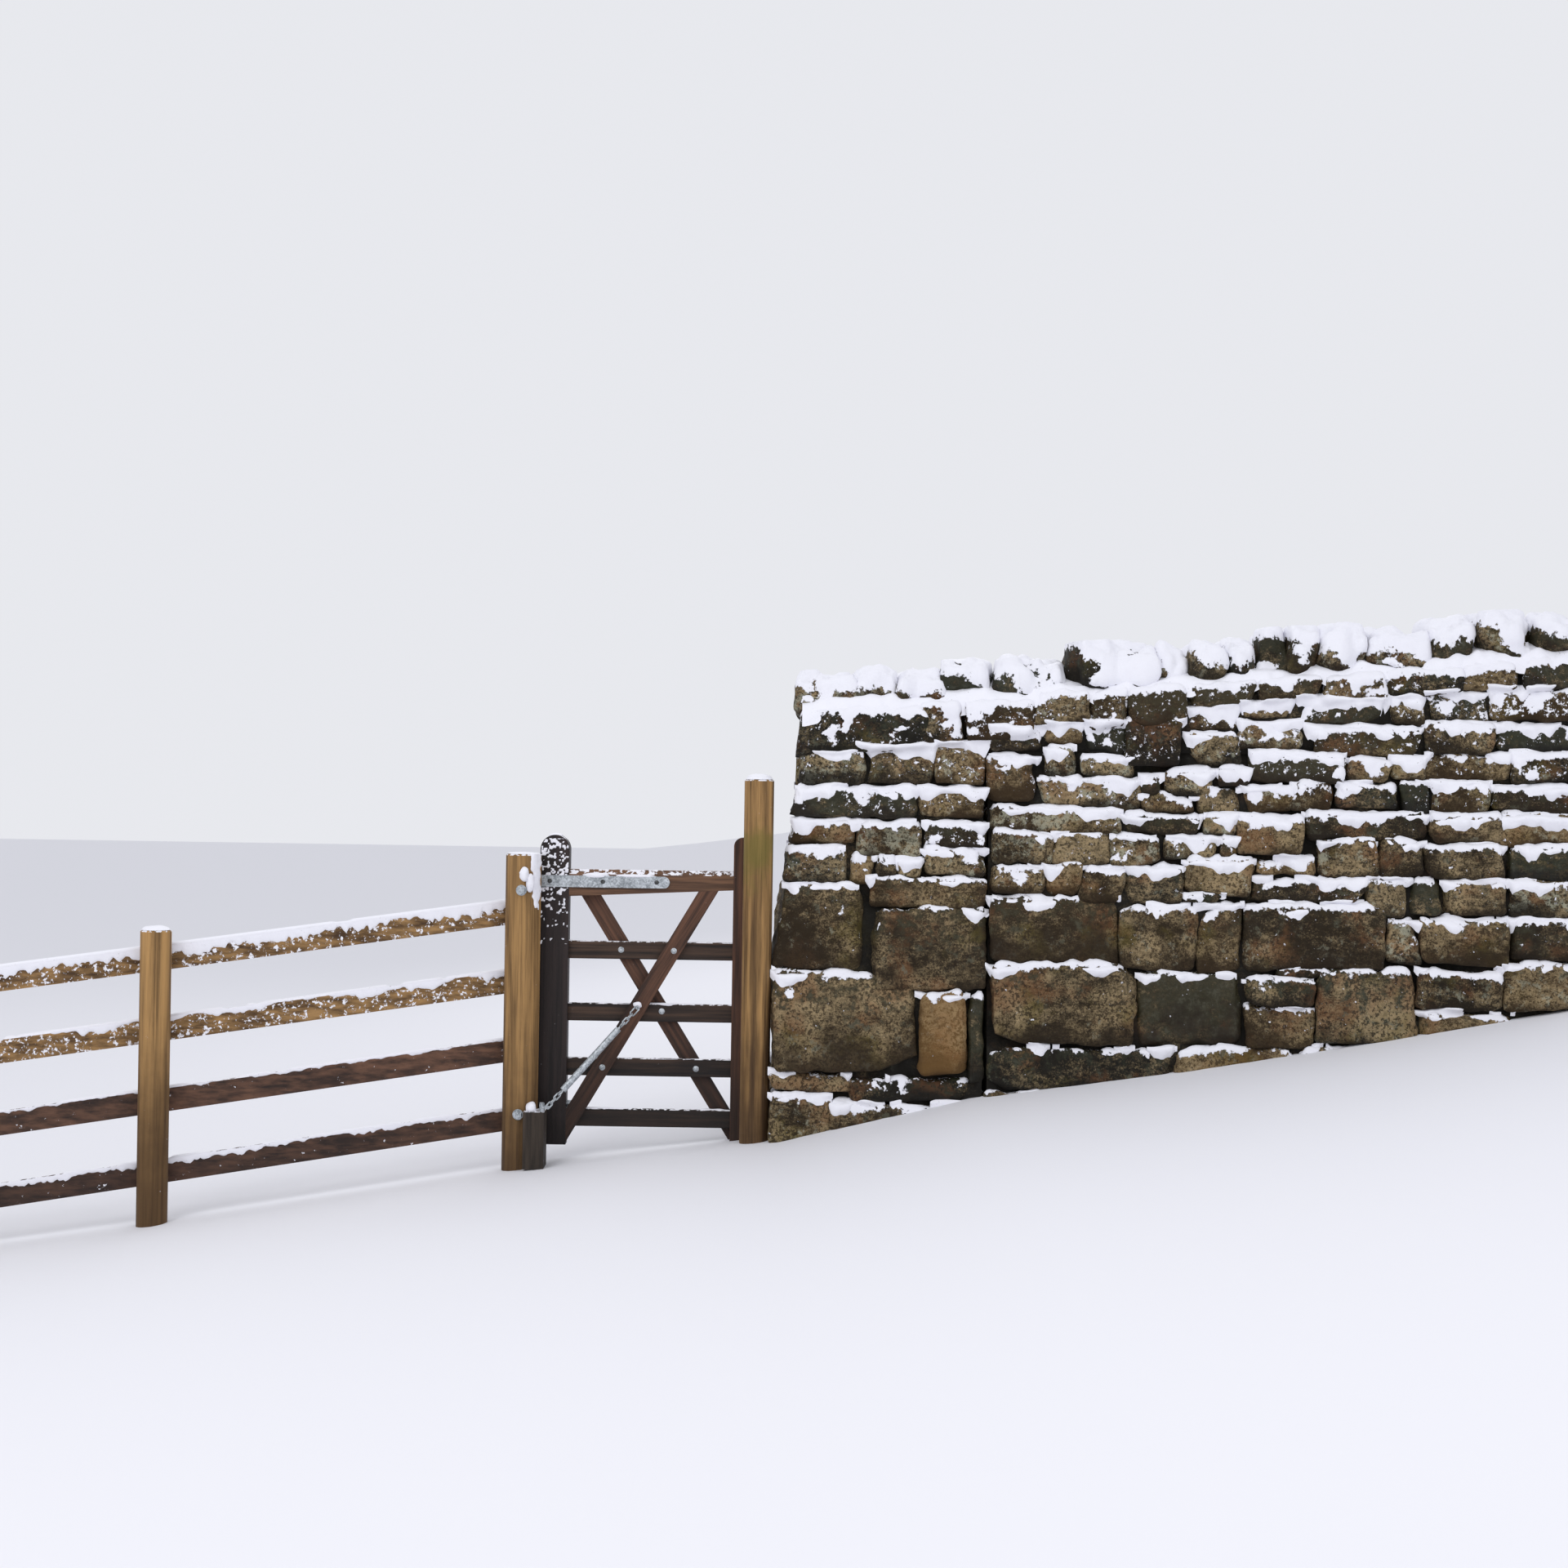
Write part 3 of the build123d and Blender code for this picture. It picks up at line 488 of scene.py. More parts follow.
def growStones(stones):
    boxes = [[left, bed, left + length, bed + height] for left, bed, length, height, kind in stones]
    firsts = [list(box) for box in boxes]
    gap, step, beside = growSettings["gap"], growSettings["step"], growSettings["coverReach"]
    jointLeft, jointRight = growSettings["joint"]

    def shared(one, other):
        wide = min(one[2], other[2]) - max(one[0], other[0])
        tall = min(one[3], other[3]) - max(one[1], other[1])
        return max(0, wide) * max(0, tall)

    def fits(place, box, edge, move):
        left, bed, right, top = box
        atHead = left < jointLeft
        if left < (growSettings["head"] if atHead else jointRight) or bed < growSettings["ground"]:
            return False
        drop = min(coverDropOf(stone) for stone in coverStones
                   if stone[0] - beside < right and stone[0] + stone[2] + beside > left)
        ceiling = 100 * coverBaseAt((left + right) / 200) - drop + growSettings["tuck"]
        if right > (jointLeft if atHead else growSettings["end"]) or top > ceiling:
            return False
        padded = list(box)
        padded[edge] += math.copysign(gap, move)
        return all(number == place or shared(padded, other) <= shared(boxes[place], other)
                   for number, other in enumerate(boxes))

    for _ in range(int(growSettings["topReach"] / step)):
        for edge, move in ((0, -step), (2, step), (3, step), (1, -step)):
            for place, box in enumerate(boxes):
                grown = list(box)
                grown[edge] += move
                toCover = edge == 3 and firsts[place][3] >= growSettings["topCourse"]
                reach = growSettings["topReach" if toCover else "reach"]
                if abs(grown[edge] - firsts[place][edge]) <= reach and fits(place, grown, edge, move):
                    boxes[place] = grown
    return [(box[0], box[1], box[2] - box[0], box[3] - box[1], stone[4]) for box, stone in zip(boxes, stones)]


# Laying the stones
layingSettings = {
    "inset": 0.006,  # how far a stone's face may stand in or out
    "proud": 0.010,  # how far the largest stones stand out besides
    "joint": 0.004,
    "leafDepth": 0.17,
    "boulderDepth": 0.26,
    "boulderHeight": 20,  # cm, taller ones are boulders
    "cornerEnd": 112,  # cm, stones that start before this make the wall's corner
    "cornerDepths": (0.34, 0.24),
    "leanFade": (1.65, 0.6),  # where the head's lean fades out, and over what length
    "lookSpread": (0.10, 0.10, 0.10, 0.06),
    "snowHeights": (0.8, 1.3, 1.7, 2.1, 2.4),
    "snowShares": (0.16, 0.20, 0.32, 0.51, 0.72),
    "snowSpread": 0.12,
}


def snowShareAt(z):
    return float(np.interp(z, layingSettings["snowHeights"], layingSettings["snowShares"]))


# Moves a stone to its face of the wall, its middle so far back from it, and mirrors it on the far side
def standAgainst(points, faces, side, face, back):
    if side < 0:
        points[:, 1] += face + back
        return faces
    points[:, 1] = face - back - points[:, 1]
    return flipped(faces)


def layFaceStone(pile, stone, side, seed, depth):
    rng = np.random.default_rng(seed)
    left, bed, length, height, kind = stone
    joint, middleZ = layingSettings["joint"], (bed + height / 2) / 100
    points, faces = shapeStone((length / 100 - joint, depth, height / 100 - joint), spacingOf(side), seed)
    out = rng.uniform(-1, 1) * layingSettings["inset"]
    out += layingSettings["proud"] * (kind in ("boulder", "ochre"))
    points += (middleOf(stone), 0, middleZ)
    faces = standAgainst(points, faces, side, faceY(points[:, 2], side), depth / 2 - out)
    fadeEnd, fadeLength = layingSettings["leanFade"]
    points[:, 0] += (headX(points[:, 2]) - startX) * capped((fadeEnd - points[:, 0]) / fadeLength)
    look = lookOf(kind, rng, layingSettings["lookSpread"])
    spread = layingSettings["snowSpread"]
    pile.add(points, faces, look, snowShareAt(middleZ) + rng.uniform(-spread, spread))


def pileFor(left, bed):
    part = "head" if left / 100 < wallSettings["jointX"] - wallSettings["halfJoint"] else "run"
    return piles[("boulders_" if bed / 100 < wallSettings["boulderTop"] - 0.1 else "walling_") + part]


laidStones = growStones(faceStones)
for side, (number, stone) in product((-1, 1), enumerate(laidStones)):
    left, bed, length, height, kind = stone
    depth = layingSettings["boulderDepth" if height > layingSettings["boulderHeight"] else "leafDepth"]
    if left < layingSettings["cornerEnd"]:
        depth = layingSettings["cornerDepths"][number % 2]
    layFaceStone(pileFor(left, bed), stone, side, 1000 * (side + 2) + number, depth)


# The head and the cut end: stones across the wall between the corner stones, bed and height in centimetres
endSettings = {
    "headCourses": [(48, 24), (73, 50), (124, 36), (161, 15), (177, 11), (189, 13), (203, 12)],
    "cutCourses": [(116, 16), (133, 18), (152, 14), (167, 14), (182, 12), (195, 12), (208, 13), (222, 11),
                   (234, 12)],
    "headInset": 0.28,  # in from the faces
    "cutInset": 0.15,
    "stoneDepth": 0.16,
    "stoneWidth": 0.24,
    "spacing": 0.02,
    "joint": 0.006,
    "back": 0.004,
    "kinds": ["brown", "boulder", "dark", "grey", "tan"],
    "lookSpread": 0.1,
    "snow": 0.6,
}


def layEndStone(seed, middleY, z, width, height, pile, atHead):
    rng = np.random.default_rng(seed)
    depth = endSettings["stoneDepth"]
    size = (width - endSettings["joint"], depth, height / 100 - layingSettings["joint"])
    points, faces = shapeStone(size, endSettings["spacing"], seed)
    points = points[:, [1, 0, 2]]
    points[:, 1] = middleY + points[:, 1] * (-1 if atHead else 1)
    points[:, 2] += z
    if atHead:
        points[:, 0] += headX(points[:, 2]) + depth / 2
    else:
        points[:, 0] = endX - depth / 2 - points[:, 0] - endSettings["back"]
    look = lookOf(rng.choice(endSettings["kinds"]), rng, endSettings["lookSpread"])
    pile.add(points, faces, look, snowShareAt(z) * endSettings["snow"])


for atHead, part, left in ((1, "head", 110), (0, "cut", 440)):
    for number, (bed, height) in enumerate(endSettings[part + "Courses"]):
        z = (bed + height / 2) / 100
        start, end = (faceY(z, side) - side * endSettings[part + "Inset"] for side in (-1, 1))
        count = max(1, round((end - start) / endSettings["stoneWidth"]))
        width = (end - start) / count
        for place in range(count):
            seed = 5000 + 100 * number + 10 * place + atHead
            layEndStone(seed, start + (place + 0.5) * width, z, width, height, pileFor(left, bed), atHead)
print("Face stones laid")


# Hearting: the rubble that shows dark and deep in the joints, and a plain core behind it; both are coloured
# near black as painted shade in the joints
heartSettings = {
    "inset": 0.045,
    "spacing": 0.03,
    "cobble": 0.11,
    "depth": 0.028,
    # near-black tone with moss: painted shade deep in the joints
    "look": (0.05, 0.0, 0.6, 0.0),
    "snow": -0.6,
    "headBack": 0.17,  # behind the head's corner stones
    "ends": (0.02, 0.01),
    "coreInset": 0.085,
    "coreEnd": 0.12,
}


def addHearting(pile, left, right, base, top):
    columns = max(2, round((right - left) / heartSettings["spacing"]))
    rows = max(2, round((top(left) - base) / heartSettings["spacing"]))
    for side in (-1, 1):
        x, share = crossed((left, right), columns, (0, 1), rows)
        z = base + share * (top(x) - base)
        bumps = smoothNoise(stacked(x, 0.0, z), heartSettings["cobble"], 77 + side) * heartSettings["depth"]
        y = faceY(z, side) - side * (heartSettings["inset"] + bumps)
        pile.addInside(stacked(x, y, z), gridFaces(columns, rows, side > 0))


def coreBlock(pile, left, right, base, top, inset):
    near, far = ([faceY(z, side) - side * inset for z in (base, top(left))] for side in (-1, 1))
    points = []
    for x in (left, right):
        points += [(x, near[0], base), (x, far[0], base), (x, far[1], top(x)), (x, near[1], top(x))]
    faces = [(0, 1, 2, 3), (7, 6, 5, 4), (0, 4, 5, 1), (1, 5, 6, 2), (2, 6, 7, 3), (3, 7, 4, 0)]
    pile.addInside(np.array(points), flipped(faces))


# Footing, below the ground line
footingSettings = {
    "rows": 5,
    "rowHeight": 0.27,
    "proud": 0.036,
    "depth": 0.41,
    "lengths": (0.42, 0.70),
    "shortest": 0.2,
    "lowest": 0.1,
    "joints": (0.01, 0.006),
    "spacing": 0.045,
    "start": 0.005,
    "back": 0.004,
    "least": 0.02,  # a shorter rest of a row is left open
    "snow": 0.1,
    "ground": (0.465, 0.187),  # the footing's top at the head, and its slope
    "coreInset": 0.06,
    "coreEnd": 0.05,
    "coreBase": 0.02,
    "coreDrop": 0.09,
}


def footingTop(x):
    level, slope = footingSettings["ground"]
    return level + slope * (x - startX)


def layFootingStone(x, z, length, height, side, seed):
    depth, (joint, bedJoint) = footingSettings["depth"], footingSettings["joints"]
    points, faces = shapeStone((length - joint, depth, height - bedJoint), footingSettings["spacing"], seed)
    points += (x + length / 2, 0, z + height / 2)
    edge = faceY(wallSettings["datumZ"], side) + side * footingSettings["proud"]
    faces = standAgainst(points, faces, side, edge, depth / 2)
    piles["wall_footing"].add(points, faces, stoneKinds["boulder"], footingSettings["snow"])


def layFooting():
    rng = np.random.default_rng(31)
    rowHeight, lowest = footingSettings["rowHeight"], footingSettings["lowest"]
    for side, row in product((-1, 1), range(footingSettings["rows"])):
        x = startX + footingSettings["start"]
        while x < endX - footingSettings["least"]:
            rest = endX - x - footingSettings["back"]
            length = min(rng.uniform(*footingSettings["lengths"]), rest)
            if endX - x - length < footingSettings["shortest"]:
                length = rest
            room = footingTop(x + length / 2) - row * rowHeight
            if room > lowest:
                height = room if room < rowHeight + lowest else rowHeight
                layFootingStone(x, row * rowHeight, length, height, side, int(rng.integers(1, 10**6)))
            x += length


layFooting()
coreBlock(piles["wall_footing"], startX + footingSettings["coreEnd"], endX - footingSettings["coreEnd"],
          footingSettings["coreBase"], lambda x: footingTop(x) - footingSettings["coreDrop"],
          footingSettings["coreInset"])

jointX, halfJoint, boulderTop = (wallSettings[key] for key in ("jointX", "halfJoint", "boulderTop"))
headInset, endInset = heartSettings["ends"]
for part, left, right, back in (("head", startX + headInset, jointX - halfJoint, heartSettings["headBack"]),
                                ("run", jointX + halfJoint, endX - endInset, 0.0)):
    lower, upper, base = piles["boulders_" + part], piles["walling_" + part], footingTop(left) - 0.02
    coreLeft, coreRight, inset = left + back, right - heartSettings["coreEnd"], heartSettings["coreInset"]
    addHearting(lower, left + back / 2, right, base, lambda x: boulderTop)
    addHearting(upper, coreLeft, right, boulderTop, coverBaseAt)
    coreBlock(lower, coreLeft, coreRight, base, lambda x: boulderTop, inset)
    coreBlock(upper, coreLeft, coreRight, boulderTop, coverBaseAt, inset)


# Cover band and cope
topSettings = {
    "coverProud": 0.020,
    "coverOverlap": 0.012,
    "coverHeadShift": 0.09,
    "coverHeadProud": 0.02,
    "coverSpread": 0.1,
    "coverSnow": 0.6,
    "coverRoom": 0.002,
    "coreEnds": (0.15, 0.03),
    "coreBase": 2.19,
    "coreDrop": 0.012,
    "coreInset": 0.03,
    "copeWidth": 0.43,
    "copeTop": {"cope_head": 0.205, "cope_run": 0.240},  # above the cover stones, snow included
    "copeSnow": 0.030,
    "copeJoint": (190, 115, 150),  # cm, where the head's cope ends, its first stone, and its lichened ones
    "copeShares": ((0.74, 1.0), (0.90, 1.0)),  # least and most of a stone's height, then of its width
    "copeSpacing": 0.016,
    "copeOverlap": 0.004,
    "copeBedding": 0.004,
    "copeHeadShift": 0.03,
    "copeRounding": (0.085, 0.8),
    "copeLumps": 0.20,
    "copeLumpSize": 0.10,
    "copeSpread": 0.08,
    "copeShare": 0.3,
    "shoulder": 0.30,
}


def layCoverStone(number, stone, side):
    left, bed, length, height, kind = stone
    seed = 7000 + 50 * side + number
    rng = np.random.default_rng(seed)
    depth = faceY(bed / 100, 1) - midY + topSettings["coverProud"]
    drop = coverDropOf(stone) / 100
    band = wallSettings["copeBase"] - wallSettings["coverBase"] + drop
    tall = min(height / 100 + drop, band) - topSettings["coverRoom"]
    size = (length / 100 + topSettings["coverOverlap"], depth, tall)
    points, faces = shapeStone(size, spacingOf(side), seed)
    points[:, 0] += middleOf(stone) + topSettings["coverHeadShift"] * (left < layingSettings["cornerEnd"])
    points[:, 2] += coverBaseAt(points[:, 0]) - drop + tall / 2 + rng.uniform(0, band - tall)
    faces = standAgainst(points, faces, side, midY, -depth / 2)
    points[:, 0] = np.maximum(points[:, 0], headX(points[:, 2]) - topSettings["coverHeadProud"])
    spread = topSettings["coverSpread"]
    look = lookOf(kind, rng, spread)
    piles["cover_stones"].add(points, faces, look, topSettings["coverSnow"] + rng.uniform(-spread, spread))


def layCopeStone(number, stone):
    left, bed, length, height, lean = stone
    seed = 8000 + number
    rng = np.random.default_rng(seed)
    headEnd, firstEnd, lichenEnd = topSettings["copeJoint"]
    node = "cope_head" if left < headEnd else "cope_run"
    limit = topSettings["copeTop"][node] - topSettings["copeSnow"]
    heightShares, widthShares = topSettings["copeShares"]
    tall = min(height / 100, limit) * rng.uniform(*heightShares)
    width = topSettings["copeWidth"] * rng.uniform(*widthShares)
    size = (length / 100 + topSettings["copeOverlap"], width, tall)
    points, faces = shapeStone(size, topSettings["copeSpacing"], seed, topSettings["copeRounding"], True)
    lumps = topSettings["copeLumps"] * smoothNoise(points, topSettings["copeLumpSize"], seed + 100)
    points *= (1 + lumps)[:, None]
    points[:, 1] *= 1 - topSettings["shoulder"] * capped(points[:, 2] / tall + 0.5)**3
    x, y, z = points.T
    turn, middle = math.radians(lean), middleOf(stone) + topSettings["copeHeadShift"] * (left < firstEnd)
    points = stacked(x * math.cos(turn) + z * math.sin(turn), y, z * math.cos(turn) - x * math.sin(turn))
    points += (middle, midY, coverTopAt(middle) + tall / 2 - topSettings["copeBedding"])
    points[:, 2] = np.minimum(points[:, 2], coverTopAt(points[:, 0]) + limit)
    kind = "lichen" if left < lichenEnd else rng.choice(["dark", "moss", "grey", "dark"])
    piles[node].add(points, faces, lookOf(kind, rng, topSettings["copeSpread"]), topSettings["copeShare"])


for side, (number, stone) in product((-1, 1), enumerate(coverStones)):
    layCoverStone(number, stone, side)
headEnd, cutEnd = topSettings["coreEnds"]
coreBlock(piles["cover_stones"], startX + headEnd, endX - cutEnd, topSettings["coreBase"],
          lambda x: coverTopAt(x) - topSettings["coreDrop"], topSettings["coreInset"])
for number, stone in enumerate(copeStones):
    layCopeStone(number, stone)
print("Wall built up of", sum(len(pile.parts) for pile in piles.values()), "stones and fillings")


# Snow that lies on the stones
snowSettings = {
    "ledgeDepth": 0.020,
    "copeDepth": 0.032,
    "faceDepth": 0.010,
    "ledgeFace": 0.5,  # shares of faceDepth
    "copeFace": 1.4,
    "clumpSize": 0.048,
    "fineSize": 0.019,
    "patchSize": 0.075,
    "lift": 0.004,
    "reach": 0.045,
    "deepest": 0.022,
    "fallsFrom": (0.55, 0.83),  # out from the wall and up
    "pastFooting": 0.003,  # how far snow may stand out past the footing
    "endGap": 0.0005,
}


def spreadValues(piece, values):
    edges = np.empty(len(piece.data.edges) * 2, np.int32)
    piece.data.edges.foreach_get("vertices", edges)
    edges = edges.reshape(-1, 2)
    total, count = values.copy(), np.ones(len(values))
    for one, other in ((0, 1), (1, 0)):
        np.add.at(total, edges[:, one], values[edges[:, other]])
        np.add.at(count, edges[:, one], 1)
    return total / count


# Keeps snow inside the wall's own box
def holdIn(points):
    edge = footingSettings["proud"] + snowSettings["pastFooting"]
    near, far = (faceY(wallSettings["datumZ"], side) + side * edge for side in (-1, 1))
    points[:, 0] = np.minimum(points[:, 0], endX - snowSettings["endGap"])
    points[:, 1] = np.clip(points[:, 1], near, far)
    points[:, 2] = np.maximum(points[:, 2], 0.0)


def openPoints(points, normals, side):
    y, z = points[:, 1], points[:, 2]
    deep = np.where(side < 0, y - faceY(z, -1), faceY(z, 1) - y)
    isOpen = ((normals[:, 2] > -0.25) & (deep < snowSettings["deepest"])).astype(float)
    out, up = snowSettings["fallsFrom"]
    for index in np.nonzero(normals[:, 2] > 0.1)[0]:
        start = Vector(points[index] + normals[index] * snowSettings["lift"])
        hit = wallTree.ray_cast(start, Vector((0.0, out * side[index], up)), snowSettings["reach"])
        isOpen[index] = hit[0] is None
    return isOpen


def layStoneSnow(piece, pile, node):
    points, normals = np.empty((2, len(piece.data.vertices), 3))
    piece.data.vertices.foreach_get("co", points.ravel())
    piece.data.vertex_normals.foreach_get("vector", normals.ravel())
    share, rise, drop = np.concatenate(pile.coats).T
    isOpen = openPoints(points, normals, np.where(points[:, 1] < midY, -1, 1))
    clumps, fine, patches = (smoothNoise(points, snowSettings[kind + "Size"], seed)
                             for kind, seed in (("clump", 5), ("fine", 6), ("patch", 7)))
    up, onCope = normals[:, 2], node in topSettings["copeTop"]
    lying = ease(up, 0.25, 0.7) * ease(clumps * 0.5 + share * 2.0, 0.0, 0.6)
    caught = ease(patches * 0.7 + fine * 0.45 + share * 0.9 + up * 0.5 - drop * 2.0, 0.68, 0.95)
    if onCope:  # most of it is white, the wind's side and the steep sides less so
        bare = np.minimum(normals[:, 0], 0) * 1.6 + np.minimum(up - 0.35, 0) * 0.5
        caught = ease(0.22 + patches * 1.5 + fine * 0.5 + bare, 0.0, 0.3)
    lying = spreadValues(piece, np.maximum(lying, caught) * isOpen)
    kind = "cope" if onCope else "ledge"
    points[:, 2] += snowSettings[kind + "Depth"] * lying * ease(up, 0.1, 0.7) * (0.8 + 0.35 * clumps)
    thick = snowSettings["faceDepth"] * lying * (1 + 0.5 * fine + 0.7 * clumps) * snowSettings[kind + "Face"]
    points += normals * thick[:, None]
    if onCope:
        top = coverTopAt(points[:, 0]) + topSettings["copeTop"][node] - 0.001
        points[:, 2] = np.minimum(points[:, 2], top)
    holdIn(points)
    piece.data.vertices.foreach_set("co", points.ravel())
    writeValues(piece, "snowLies", lying)
    piece.data.update()


wallPoints, wallFaces = joined([part for pile in piles.values() for part in pile.parts])
wallTree = BVHTree.FromPolygons(wallPoints.tolist(), wallFaces)
wallPieces = {}
for name, pile in piles.items():
    piece = pile.build()
    layStoneSnow(piece, pile, name)
    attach(piece, "wall_and_posts")
    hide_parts(name)
    wallPieces[name] = piece


# Snow that bridges the cope and the cover stones, and fills between the cope stones
shelfSettings = {
    "headZ": 2.3,  # where it meets the head's lean
    "ends": (-0.012, -0.002),
    "step": 0.012,
    "ribs": 9,
    "ridgeRibs": 5,
    "height": (0.022, 0.082),
    "ridge": (0.085, 0.125),
    "overhang": 0.006,
    "underCope": 0.03,
    "drip": (0.014, 0.052),
    "bumps": 0.004,
}


def snowShelf(side):
    startShift, endShift = shelfSettings["ends"]
    left, right = headX(shelfSettings["headZ"]) + startShift, endX + endShift
    step, ribs, ridgeRibs = (shelfSettings[key] for key in ("step", "ribs", "ridgeRibs"))
    count = int((right - left) / step)
    x, place = crossed((left, right), count, (0, ribs + ridgeRibs), ribs + ridgeRibs)
    share = np.minimum(place / ribs, 1)
    inward = ease(place, ribs, ribs + ridgeRibs)
    line = stacked(x, side * 3.0, 0.0)
    wave = noiseSum(line, (0.16, 21, 0.6), (0.05, 22, 0.3))
    height = between(shelfSettings["height"], capped(wave * 0.8 + 0.5))
    drip = between(shelfSettings["drip"], capped(noiseSum(line, (0.09, 23, 0.8), (0.035, 25, 0.4)) + 0.35))
    crest = between(shelfSettings["ridge"], capped(wave + 0.5))
    edge = faceY(coverTopAt(x), side) + side * (topSettings["coverProud"] + shelfSettings["overhang"])
    inner = midY + side * (topSettings["copeWidth"] / 2 - shelfSettings["underCope"])
    y = edge + (inner - edge) * share**1.35 + (midY - inner) * inward
    rise = (height + drip) * np.sin(share * math.pi / 2) ** 0.8
    points = stacked(x, y, coverTopAt(x) - drip + rise + (crest - height) * inward)
    bumps = smoothNoise(points, 0.03, 24) * shelfSettings["bumps"]
    points += stacked(0.0, side * bumps, bumps)
    holdIn(points)
    return points, gridFaces(count, ribs + ridgeRibs, side > 0)


# Snow that hangs over each stone's top edge
ledgeSettings = {
    "step": 0.010,
    "rows": 8,
    "past": 0.013,  # how far it runs on past the ends of its stone
    "above": 0.009,
    "joint": 0.013,  # how far it lies back in a joint
    "sink": 0.004,
    "hang": (0.014, 0.080),
    "thick": (0.007, 0.020),
    "taper": 0.02,
    "least": 0.02,  # thinner snow is left off
    "bumps": 0.0025,
    "rayFrom": 1.2,
    "rayReach": 1.5,
}


def deepAt(x, z, face, side):
    deep = np.full_like(z, ledgeSettings["joint"])
    outside, inward = midY + side * ledgeSettings["rayFrom"], Vector((0, -side, 0))
    for place in np.ndindex(z.shape):
        start = Vector((x[place], outside, z[place]))
        hit = wallTree.ray_cast(start, inward, ledgeSettings["rayReach"])
        if hit[0]:
            deep[place] = min(side * (face[place] - hit[0].y), ledgeSettings["joint"])
    deep[1:-1] = (deep[:-2] + deep[1:-1] * 2 + deep[2:]) / 4
    deep[:, 1:-1] = (deep[:, :-2] + deep[:, 1:-1] * 2 + deep[:, 2:]) / 4
    return deep


def keptFaces(amount, rows):
    return np.repeat((amount[:-1] + amount[1:] > ledgeSettings["least"])[:, None], rows, axis=1)


def ledgeSnow(stone, side, seed):
    left, bed, length, height, kind = stone
    top, past = (bed + height) / 100, ledgeSettings["past"]
    low, high = left / 100 - past, (left + length) / 100 + past
    lean = float(headX(top) - startX) * (left < layingSettings["cornerEnd"])
    count, rows = max(4, round((high - low) / ledgeSettings["step"])), ledgeSettings["rows"]
    x = np.linspace(low + lean, high, count + 1)
    line = stacked(x, side * 5.0 + seed * 0.37, 0.0)
    amount = capped(snowShareAt(top) * 1.5 - 0.26 + noiseSum(line, (0.13, 31, 1.1), (0.04, 32, 0.5)))
    amount *= capped(np.minimum(x - x[0], x[-1] - x) / ledgeSettings["taper"])
    scallops = capped(0.5 + noiseSum(line, (0.06, 33, 0.8), (0.025, 35, 0.4)))
    hang = between(ledgeSettings["hang"], amount * (0.25 + 0.75 * scallops))
    hang = np.minimum(hang, height / 100 * 0.85)
    thick = amount**0.5 * between(ledgeSettings["thick"], capped(0.5 + smoothNoise(line, 0.05, 34)))
    share = np.linspace(0, 1, rows + 1)
    above = ledgeSettings["above"] * np.clip(1 + noiseSum(line, (0.08, 37, 1.6), (0.03, 38, 0.6)), 0.3, 2.4)
    z = top + above[:, None] - (hang + above)[:, None] * share
    x = np.repeat(x[:, None], rows + 1, axis=1)
    face = faceY(z, side)
    bulge = np.sin(math.pi * np.minimum(share**0.55, 1)) ** 0.8
    offset = thick[:, None] * bulge - ledgeSettings["sink"] * (1 - bulge)
    y = face - side * (deepAt(x, z, face, side) - offset)
    points = stacked(x.ravel(), y.ravel(), z.ravel())
    points[:, 1] += side * ledgeSettings["bumps"] * smoothNoise(points, 0.022, 36)
    holdIn(points)
    faces = gridFaces(count, rows, side < 0, keptFaces(amount, rows))
    return onlyUsed(points, faces) if faces else None


ledgeParts = [ledgeSnow(stone, side, number) for side in (-1, 1) for number, stone in enumerate(laidStones)]
ledgeParts = [part for part in ledgeParts if part]
print("Snow laid on the wall, ledges:", len(ledgeParts))


# Material helpers
def linear(red, green, blue):
    colour = [value / 255 for value in (red, green, blue)]
    colour = [share / 12.92 if share < 10 / 255 else ((share + 0.055) / 1.055) ** 2.4 for share in colour]
    return (*colour, 1.0)


def setInputs(tree, node, inputs):
    for socket, value in inputs.items():
        if isinstance(value, bpy.types.NodeSocket):
            tree.links.new(value, node.inputs[socket])
        else:
            node.inputs[socket].default_value = value


def put(tree, kind, inputs, **options):
    node = tree.nodes.new("ShaderNode" + kind)
    for key, value in options.items():
        setattr(node, key, value)
    setInputs(tree, node, inputs)
    return node.outputs


def noiseOf(tree, vector, scale, detail=4.0, rough=0.55):
    inputs = {"Vector": vector, "Scale": scale, "Detail": detail, "Roughness": rough}
    return put(tree, "TexNoise", inputs)[0]


def rampOf(tree, value, low, high):
    inputs = {"Value": value, "From Min": low, "From Max": high}
    return put(tree, "MapRange", inputs, interpolation_type="SMOOTHSTEP")[0]


def mathOf(tree, operation, first, second):
    return put(tree, "Math", {0: first, 1: second}, operation=operation)[0]


def plus(tree, first, *others):
    for other in others:
        first = mathOf(tree, "ADD", first, other)
    return first


def times(tree, first, second):
    return mathOf(tree, "MULTIPLY", first, second)


def swing(tree, noise, amount):
    return times(tree, mathOf(tree, "SUBTRACT", noise, 0.5), amount)


def mixOf(tree, share, first, second):
    return put(tree, "Mix", {0: share, 6: first, 7: second}, data_type="RGBA", blend_type="MIX")[2]


def tint(tree, colour, paint, mask, strength):
    return mixOf(tree, times(tree, mask, strength), colour, paint)


def placeOf(tree):
    return put(tree, "TexCoord", {})["Object"]


def axisOf(tree, vector, axis):
    return put(tree, "SeparateXYZ", {0: vector})[axis]


def upOf(tree):
    return axisOf(tree, put(tree, "NewGeometry", {})["Normal"], "Z")


def bumpOf(tree, height, strength, depth):
    return put(tree, "Bump", {"Strength": strength, "Distance": depth, "Height": height})[0]


